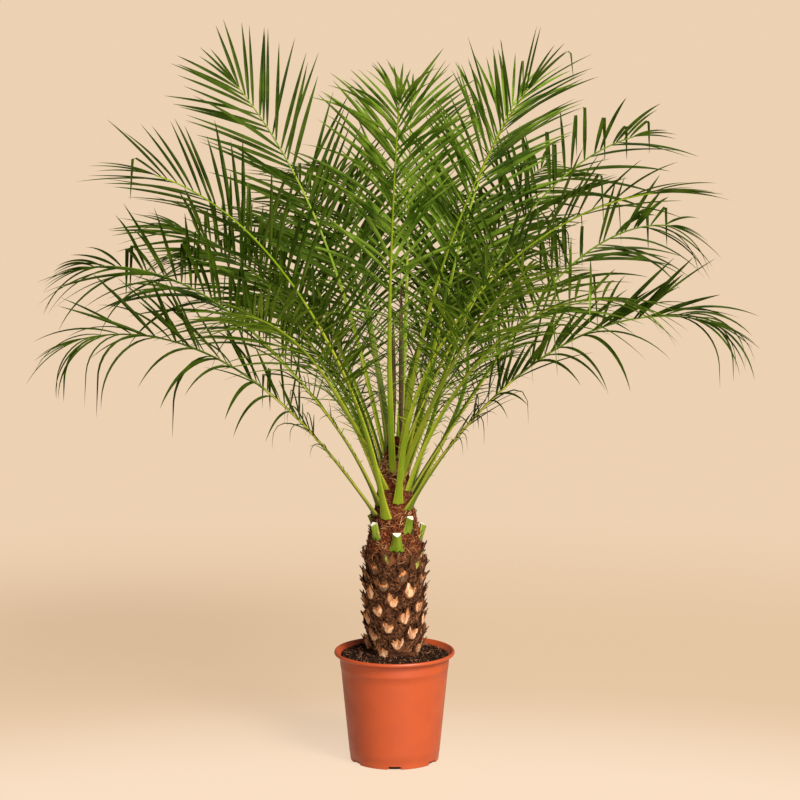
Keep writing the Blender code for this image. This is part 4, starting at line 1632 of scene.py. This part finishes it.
@dataclass
class Heart:
    """The heart of the crown: spears that have not opened.

    Attributes:
        blades: narrow blades in one spear.
        half_width: half the width of a blade.
        outline: its width along it, as a share of the widest.
        spread: how far the blades stand off the spear's middle.
        steps: steps along a blade.
        brown_share: share of the blades that are brown.
        seed: starts the draws.
    """

    blades: int = 9
    half_width: float = 0.0045
    outline: Steps = ((0.0, 0.6), (0.3, 1.0), (0.7, 0.8), (1.0, 0.08))
    spread: float = 0.0035
    steps: int = 8
    brown_share: float = 0.45
    seed: int = 21

    def build(self) -> None:
        """Makes the spears as bundles of folded leaflets."""
        draws = random.Random(self.seed)
        pile = Pile("spears", (SPEAR_LEAF, SPEAR_BROWN))
        nodes = sorted(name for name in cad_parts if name.startswith("spear_"))
        for name in nodes:
            low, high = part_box(name)
            foot = Vector(((low[0] + high[0]) * 0.5, (low[1] + high[1]) * 0.5, low[2]))
            self._bundle(pile, foot, high[2] - low[2], draws)
        pile.piece(nodes, crease=25.0)

    def _bundle(self, pile: Pile, foot: Vector, tall: float, draws: random.Random) -> None:
        """Adds one spear: upright narrow blades that lie against each other.

        Args:
            pile: where it goes.
            foot: the middle of its foot.
            tall: its height.
            draws: the seeded draws.
        """
        for k in range(self.blades):
            heading = 360.0 * k / self.blades + draws.uniform(-10.0, 10.0)
            length = tall * draws.uniform(0.72, 1.0)
            start = tall * draws.uniform(0.0, 0.18)
            bow = draws.uniform(0.001, 0.004)
            out, side = polar(1.0, heading, 0.0), polar(1.0, heading + 90.0, 0.0)
            rings = []
            for step in range(self.steps + 1):
                share = step / self.steps
                wide = self.half_width * along(share, self.outline)
                spread = self.spread + bow * math.sin(math.pi * share)
                height = start + (length - start) * share
                middle = foot + polar(spread * (1.0 - 0.5 * share), heading, height)
                left, right = middle - side * wide, middle + side * wide
                rings.append([right, middle + out * wide * 0.5, left, middle - out * 0.001])
            pile.tube(rings, 1 if draws.random() < self.brown_share else 0)


# ---------------------------------------------------------------- pot and soil


@dataclass
class Pot:
    """The pot, with a smooth rolled rim, faint rings, a foot band and drain notches.

    Attributes:
        height: its whole height.
        foot_radius: its radius at the foot.
        neck_radius: its radius under the rim.
        wall: how thick the wall is.
        floor: how thick the floor is.
        rim_radius: its radius at the rim.
        rim_depth: how far the rim comes down.
        rim_mouth: the radius of its mouth.
        foot_band: height of the band at the foot.
        band_step: how far a band or ledge stands out.
        ledge: height of the ledge under the neck.
        notches: count of the drain notches.
        notch_width: their width.
        notch_height: their height.
        notch_depth: how far they are pushed in.
        rim_roll: (share of the rim's depth) half width and half height of its rolled edge.
        roll_arc: where that roll starts, and how far round it goes, in degrees.
        roll_steps: steps of the roll.
        wall_steps: steps up the wall.
        sides: points round the pot.
    """

    height: float = 0.296
    foot_radius: float = 0.1174
    neck_radius: float = 0.146
    wall: float = 0.0028
    floor: float = 0.004
    rim_radius: float = 0.160
    rim_depth: float = 0.011
    rim_mouth: float = 0.149
    foot_band: float = 0.022
    band_step: float = 0.0006
    ledge: float = 0.249
    notches: int = 6
    notch_width: float = 0.033
    notch_height: float = 0.009
    notch_depth: float = 0.007
    rim_roll: Span = (0.38, 0.45)
    roll_arc: Span = (-62.0, 205.0)
    roll_steps: int = 14
    wall_steps: int = 12
    sides: int = 192

    def outer(self, height: float) -> float:
        """The outer radius of the wall at a height."""
        full = self.height - self.rim_depth
        return self.foot_radius + (self.neck_radius - self.foot_radius) * height / full

    def profile(self) -> list[tuple[float, float]]:
        """(radius, height) points from the axis below, round the rim, to the axis above."""
        under = self.height - self.rim_depth
        points = [(0.0, 0.0), (self.foot_radius - 0.0015, 0.0), (self.foot_radius, 0.0012)]
        points += [(self.outer(h), h) for h in (self.notch_height, self.foot_band - 0.001)]
        points.append((self.outer(self.foot_band) + self.band_step, self.foot_band + 0.0004))
        for k in range(1, self.wall_steps):
            height = self.foot_band + (self.ledge - self.foot_band) * k / self.wall_steps
            points.append((self.outer(height) + self.band_step * (1.0 - k / self.wall_steps), height))
        points.append((self.outer(self.ledge), self.ledge))
        points.append((self.outer(self.ledge) + self.band_step, self.ledge + 0.0008))
        for height in (self.ledge + 0.008, self.ledge + 0.016, under - 0.006):
            ripple = 0.0004 if height < under - 0.007 else 0.0
            points.append((self.outer(height) + self.band_step + ripple, height))
            points.append((self.outer(height + 0.0015) + self.band_step, height + 0.0015))
        points.append((self.neck_radius + self.band_step, under + 0.0006))
        points.append((self.rim_radius - 0.0045, under))
        wide, tall = self.rim_depth * self.rim_roll[0], self.rim_depth * self.rim_roll[1]
        middle_radius, middle_height = self.rim_radius - wide, under + self.rim_depth * 0.55
        for k in range(self.roll_steps + 1):
            angle = math.radians(self.roll_arc[0] + self.roll_arc[1] * k / self.roll_steps)
            points.append((middle_radius + wide * math.cos(angle), middle_height + tall * math.sin(angle)))
        points.append((self.rim_mouth, self.height - 0.0065))
        for height in (0.284, 0.262, self.floor):
            points.append((self.outer(height) - self.wall, height))
        points.append((0.0, self.floor))
        return points

    def build(self) -> None:
        """Makes the pot as one turned mesh, with its notches pushed in at the foot and painted dark as shade.
        """
        pile = Pile("pot_shell", (POT_PLASTIC, POT_NOTCH_PAINTED_SHADE))
        count = self.sides
        rings: list[list[Vector]] = []
        for radius, height in self.profile():
            rings.append([polar(radius, 360.0 * k / count, height) for k in range(count)])
        points = [p for ring in rings[1:-1] for p in ring]
        faces, skins = band_faces(len(rings) - 2, count), []
        half, turn = math.degrees(self.notch_width * 0.5 / self.foot_radius), 360.0 / self.notches
        for number in range(len(faces)):
            row, k = divmod(number, count)
            heading = (360.0 * (k + 0.5) / count + 90.0) % turn
            inside = min(heading, turn - heading) < half
            skins.append(inside and rings[row + 2][0].z <= self.notch_height + 1e-6)
        under = len(points)
        points += [Vector((0.0, 0.0, 0.0)), Vector((0.0, 0.0, self.floor))]
        last = (len(rings) - 3) * count
        for k in range(count):
            n = (k + 1) % count
            faces += [(n, k, under), (last + k, last + n, under + 1)]
            skins += [False, False]
        pushed = {c for face, skin in zip(faces, skins) if skin for c in face}
        for c in pushed:
            if points[c].z < self.notch_height - 1e-6:
                flat = Vector((points[c].x, points[c].y, 0.0))
                points[c] = points[c] - flat.normalized() * self.notch_depth
        plain = [face for face, skin in zip(faces, skins) if not skin]
        notched = [face for face, skin in zip(faces, skins) if skin]
        pile.add(points, plain + notched, [0] * len(plain) + [1] * len(notched))
        pile.piece(["pot"], crease=32.0)


@dataclass
class Soil:
    """The soil: a rough crumbly top with bark chips and pale specks.

    Attributes:
        edge_height: its height at the pot's wall.
        edge_radius: its radius there.
        top_height: its height round the trunk.
        top_radius: how far out it is as high as that.
        shoulder: radius and height between the two.
        foot: radius and height of its lower edge in the pot.
        core_radius: the radius of its innermost ring, under the trunk.
        strewn: the smallest radius of the bits on it, and how far they stay off the wall.
        rings: rings of its top.
        sides: points round it.
        seed: starts the draws.
    """

    edge_height: float = 0.284
    edge_radius: float = 0.1424
    top_height: float = 0.293
    top_radius: float = 0.090
    shoulder: Span = (0.120, 0.290)
    foot: Span = (0.1148, 0.0052)
    core_radius: float = 0.030
    strewn: Span = (0.058, 0.004)
    rings: int = 70
    sides: int = 220
    seed: int = 3

    def height(self, radius: float) -> float:
        """The even height of the soil at a radius."""
        steps = ((0.0, self.top_height), (self.top_radius, self.top_height), self.shoulder)
        return along(radius, (*steps, (self.edge_radius, self.edge_height)))

    def surface(self, spot: Vector) -> float:
        """The crumbly height at a place."""
        rough = noise.fractal(Vector((spot.x, spot.y, 0.0)) * 70.0, 0.9, 2.2, 4)
        return self.height(Vector((spot.x, spot.y)).length) + 0.0030 * rough - 0.0012

    def build(self) -> None:
        """Makes the soil's pieces."""
        draws = random.Random(self.seed)
        self._bed()
        self._chips("soil_crumbs", SOIL_CRUMB, 2600, (0.0020, 0.0085), (0.25, 0.7), draws)
        self._chips("bark_chips", CHIP_BROWN, 520, (0.005, 0.022), (0.10, 0.28), draws)
        self._chips("pale_specks", CHIP_PALE, 70, (0.0018, 0.0045), (0.3, 0.8), draws)

    def _bed(self) -> None:
        """Adds the soil bed, closed below."""
        pile = Pile("soil_bed", (SOIL_DARK,))
        rings = [[polar(self.foot[0], 360.0 * k / self.sides, self.foot[1]) for k in range(self.sides)]]
        for row in range(self.rings):
            radius = self.edge_radius + (self.core_radius - self.edge_radius) * row / (self.rings - 1)
            ring = []
            for k in range(self.sides):
                spot = polar(radius, 360.0 * k / self.sides, 0.0)
                ring.append(Vector((spot.x, spot.y, self.surface(spot))))
            rings.append(ring)
        pile.tube(rings)
        pile.piece(["soil"], crease=60.0)

    def _chips(
        self,
        name: str,
        skin: Finish,
        count: int,
        sizes: Span,
        widths: Span,
        draws: random.Random,
    ) -> None:
        """Strews small angular bits over the soil.

        Args:
            name: the piece's name.
            skin: its finish.
            count: how many bits.
            sizes: the smallest and the largest.
            widths: the slimmest and the widest, as shares of their size.
            draws: the seeded draws.
        """
        pile = Pile(name, (skin,))
        corners = 5
        for _ in range(count):
            radius = math.sqrt(draws.uniform(self.strewn[0] ** 2, (self.edge_radius - self.strewn[1]) ** 2))
            spot = polar(radius, draws.uniform(0.0, 360.0), 0.0)
            size = draws.uniform(*sizes)
            spot.z = self.surface(spot) + min(size, 0.008) * 0.12
            turn = Quaternion([draws.gauss(0, 1) for _ in range(4)]).normalized()
            shape = (size, size * draws.uniform(*widths), size * draws.uniform(*widths) * 0.7)
            rings = []
            for level, wide in ((-0.5, 0.7), (0.05, 1.0), (0.5, 0.65)):
                ring = []
                for c in range(corners):
                    angle = math.tau * (c + draws.uniform(-0.25, 0.25)) / corners
                    local = Vector((math.cos(angle) * wide * 0.5, math.sin(angle) * wide * 0.5, level))
                    ring.append(spot + turn @ Vector([a * b for a, b in zip(local, shape)]))
                rings.append(ring)
            pile.tube(rings)
        pile.piece(crease=20.0)


# ---------------------------------------------------------------- the finishes by name

RIB_MARGIN = Finish(
    "rib_margin", "frond", (0.290, 0.290, 0.018), (0.214, 0.232, 0.018), (12.0, UPRIGHT),
    relief=(300.0, UPRIGHT), depth=0.0003, gloss=(0.35, 0.5), specular=0.3,
)
CORE_DARK = Finish(
    "core_dark", "bark", (0.024, 0.0080, 0.0030), (0.095, 0.033, 0.013), (60.0, LEVEL),
    relief=(190.0, LEVEL), depth=0.003, gloss=(0.85, 0.95), specular=0.12,
)
CORE_RED = Finish(
    "core_red", "bark", (0.034, 0.0065, 0.0022), (0.120, 0.029, 0.009), (60.0, LEVEL),
    relief=(190.0, LEVEL), depth=0.003, gloss=(0.85, 0.95), specular=0.08,
)
BASE_BARK = Finish(
    "base_bark", "bark", (0.032, 0.0105, 0.0040), (0.138, 0.053, 0.019), (70.0, UPRIGHT),
    relief=(240.0, UPRIGHT), depth=0.002, gloss=(0.8, 0.95), specular=0.12,
)
CUT_PALE = Finish(
    "cut_pale", "bark", (0.640, 0.385, 0.225), (0.270, 0.110, 0.048), (110.0, UPRIGHT),
    spread=(0.44, 0.62), relief=(260.0, UPRIGHT), depth=0.002, gloss=(0.6, 0.8), specular=0.25,
)
CUT_TAN = Finish(
    "cut_tan", "bark", (0.480, 0.200, 0.075), (0.150, 0.058, 0.026), (110.0, UPRIGHT),
    spread=(0.42, 0.62), relief=(260.0, UPRIGHT), depth=0.002, gloss=(0.6, 0.8), specular=0.25,
)
CUT_GREY = Finish(
    "cut_grey", "bark", (0.142, 0.086, 0.050), (0.054, 0.023, 0.011), (70.0, UPRIGHT),
    relief=(240.0, UPRIGHT), depth=0.0016, gloss=(0.7, 0.9), specular=0.25,
)
CUT_GREEN = Finish(
    "cut_green", "bark", (0.250, 0.260, 0.040), (0.110, 0.060, 0.022), (60.0, UPRIGHT),
    spread=(0.46, 0.66), relief=(240.0, UPRIGHT), depth=0.0014, gloss=(0.6, 0.85), specular=0.3,
)
STUB_GREEN = Finish(
    "stub_green", "bark", (0.074, 0.138, 0.0040), (0.140, 0.182, 0.0110), (45.0, UPRIGHT),
    relief=(260.0, UPRIGHT), depth=0.0008, gloss=(0.4, 0.55), specular=0.16,
)
STUB_EDGE = Finish(
    "stub_edge", "bark", (0.215, 0.228, 0.020), (0.270, 0.235, 0.055), (45.0, UPRIGHT),
    relief=(260.0, UPRIGHT), depth=0.0006, gloss=(0.4, 0.55), specular=0.25,
)
STUB_CUT = Finish(
    "stub_cut", "bark", (0.765, 0.748, 0.646), (0.663, 0.646, 0.476), (160.0, EVEN),
    relief=(500.0, EVEN), depth=0.0006, gloss=(0.5, 0.7), specular=0.4,
)
SCALE_DARK = Finish(
    "scale_dark", "bark", (0.022, 0.0080, 0.0035), (0.088, 0.036, 0.016), (90.0, EVEN),
    gloss=(0.8, 0.95), specular=0.12,
)
SCALE_BROWN = Finish(
    "scale_brown", "bark", (0.170, 0.068, 0.028), (0.082, 0.030, 0.012), (90.0, EVEN),
    gloss=(0.8, 0.95), specular=0.2,
)
COIR_RED = Finish(
    "coir_red_hair", "bark", (0.105, 0.022, 0.0065), (0.360, 0.112, 0.042), (150.0, EVEN),
    spread=(0.45, 0.68), gloss=(0.6, 0.8), specular=0.12,
)
COIR_PALE = Finish(
    "coir_pale_hair", "bark", (0.448, 0.272, 0.112), (0.304, 0.152, 0.064), (90.0, EVEN),
    gloss=(0.5, 0.7), specular=0.3,
)
COIR_DARK = Finish(
    "coir_dark_hair", "bark", (0.032, 0.0115, 0.0045), (0.225, 0.090, 0.038), (120.0, EVEN),
    gloss=(0.7, 0.9), specular=0.15,
)
SPEAR_LEAF = Finish(
    "spear_green", "spear", (0.088, 0.104, 0.024), (0.048, 0.068, 0.014), (30.0, UPRIGHT),
    gloss=(0.5, 0.65),
)
SPEAR_BROWN = Finish(
    "spear_brown", "spear", (0.104, 0.060, 0.028), (0.052, 0.032, 0.016), (40.0, UPRIGHT),
    gloss=(0.7, 0.85), specular=0.25,
)
POT_PLASTIC = PottedFinish(
    "pot_plastic", "pot", (0.322, 0.050, 0.0105), (0.304, 0.0455, 0.0096), (16.0, EVEN),
    gloss=(0.40, 0.50), relief=(900.0, EVEN), depth=0.00012, specular=0.40, dust=(0.20, 0.045, 0.018),
    cover=0.16,
)
# painted shade: the near black inside the pushed-in notches
POT_NOTCH_PAINTED_SHADE = Finish(
    "pot_notch_painted_shade", "pot", (0.030, 0.010, 0.006), (0.016, 0.008, 0.006), gloss=(0.8, 0.9), specular=0.1,
)
SOIL_DARK = Finish(
    "soil_dark", "soil", (0.006, 0.0026, 0.0013), (0.024, 0.0095, 0.0043), (110.0, EVEN),
    relief=(300.0, EVEN), depth=0.004, gloss=(0.85, 0.98), specular=0.1,
)
SOIL_CRUMB = Finish(
    "soil_crumb", "soil", (0.006, 0.0026, 0.0013), (0.026, 0.0100, 0.0045), (60.0, EVEN),
    relief=(500.0, EVEN), depth=0.001, gloss=(0.8, 0.95), specular=0.1,
)
CHIP_BROWN = Finish(
    "chip_brown", "soil", (0.040, 0.014, 0.006), (0.190, 0.082, 0.040), (40.0, EVEN),
    relief=(500.0, EVEN), depth=0.001, gloss=(0.7, 0.9), specular=0.15,
)
CHIP_PALE = Finish(
    "chip_pale", "soil", (0.500, 0.350, 0.230), (0.300, 0.160, 0.080), (50.0, EVEN), gloss=(0.6, 0.8),
    specular=0.2,
)
# The floor's glow paints a pool of light near the front and a band of painted shade round it, where the
# plant's shadow falls.
STUDIO_FLOOR = BackdropFinish(
    "studio_floor", "pot", (0.080, 0.061, 0.044), (0.079, 0.060, 0.043), (0.6, EVEN), gloss=(0.75, 0.8),
    relief=(3.0, EVEN), depth=0.0, specular=0.1, glow=(0.720, 0.548, 0.384), dip=(0.655, 0.466, 0.300),
    near=(0.812, 0.636, 0.480),
)

TRUNK = Trunk()


# ---------------------------------------------------------------- studio


@dataclass
class Studio:
    """The plain floor, the soft light and the camera.

    Attributes:
        floor_radius: the radius of the floor.
        floor_sides: its sides.
        air: colour and strength of the light all round.
        sun: its energy and how soft it is, in degrees.
        sun_colour: its colour.
        sun_place: where it shines from.
        fill: size and energy of the lamp at the front right.
        fill_colour: its colour.
        fill_place: where it stands.
        aim: the point that both are turned to.
        camera_place: where the camera is.
        camera_dip: degrees that it looks down.
        camera_lens: its focal length in millimetres, on a sensor of sensor_width.
        sensor_width: the sensor's width in millimetres.
        clip: the nearest and the furthest that the camera sees.
    """

    floor_radius: float = 160.0
    floor_sides: int = 64
    air: tuple[Colour, float] = ((1.0, 0.93, 0.85), 0.20)
    sun: Span = (5.6, 19.0)
    sun_colour: Colour = (1.0, 0.95, 0.86)
    sun_place: tuple[float, float, float] = (3.2, -4.6, 6.2)
    fill: Span = (3.0, 265.0)
    fill_colour: Colour = (1.0, 0.97, 0.91)
    fill_place: tuple[float, float, float] = (1.7, -5.0, 2.0)
    aim: tuple[float, float, float] = (0.0, 0.0, 0.9)
    camera_place: tuple[float, float, float] = (0.0146, -7.7, 2.193)
    camera_dip: float = 9.04
    camera_lens: float = 133.9
    sensor_width: float = 36.0
    clip: Span = (0.1, 500.0)

    def build(self) -> None:
        """Sets up the studio."""
        self._floor()
        self._lights()
        self._camera()

    def _floor(self) -> None:
        """Adds the floor, which is not part of the object, with its painted pool of light and painted band of
        shade.
        """
        mesh = bpy.data.meshes.new("floor")
        count = self.floor_sides
        ring = [tuple(polar(self.floor_radius, 360.0 * k / count, 0.0)) for k in range(count)]
        mesh.from_pydata(ring, [], [tuple(range(count))])
        mesh.materials.append(STUDIO_FLOOR.material())
        floor = bpy.data.objects.new("floor", mesh)
        bpy.context.scene.collection.objects.link(floor)

    def _lights(self) -> None:
        """Adds an even surrounding light, a soft high sun and a fill from the front right."""
        scene = bpy.context.scene
        world = bpy.data.worlds.new("studio_air")
        world.use_nodes = True
        air = world.node_tree.nodes["Background"]
        air.inputs["Color"].default_value = (*self.air[0], 1.0)
        air.inputs["Strength"].default_value = self.air[1]
        scene.world = world
        sun = bpy.data.lights.new("soft_sun", "SUN")
        sun.energy, sun.angle, sun.color = self.sun[0], math.radians(self.sun[1]), self.sun_colour
        self._aim(sun, self.sun_place)
        fill = bpy.data.lights.new("front_fill", "AREA")
        fill.shape, fill.size, fill.energy, fill.color = "DISK", *self.fill, self.fill_colour
        self._aim(fill, self.fill_place)
        scene.view_settings.view_transform = "Standard"

    def _aim(self, light: bpy.types.Light, place: tuple[float, float, float]) -> None:
        """Places a light and turns it towards the plant."""
        lamp = bpy.data.objects.new(light.name, light)
        lamp.location = place
        lamp.rotation_euler = (Vector(self.aim) - Vector(place)).to_track_quat("-Z", "Y").to_euler()
        bpy.context.scene.collection.objects.link(lamp)

    def _camera(self) -> None:
        """Adds the camera at the viewing angle."""
        data = bpy.data.cameras.new("camera")
        data.lens, data.sensor_width = self.camera_lens, self.sensor_width
        data.clip_start, data.clip_end = self.clip
        camera = bpy.data.objects.new("camera", data)
        camera.location = self.camera_place
        camera.rotation_euler = (math.radians(90.0 - self.camera_dip), 0.0, 0.0)
        bpy.context.scene.collection.objects.link(camera)
        bpy.context.scene.camera = camera


def main() -> None:
    """Builds the pot, the soil, the trunk, its heart and the crown, then the studio."""
    logging.basicConfig(level=logging.INFO, format="%(message)s")
    for part in (Pot(), Soil(), TRUNK, Heart(), Crown(), Studio()):
        part.build()
        log.info("%s is built", type(part).__name__)


if __name__ == "__main__":
    main()
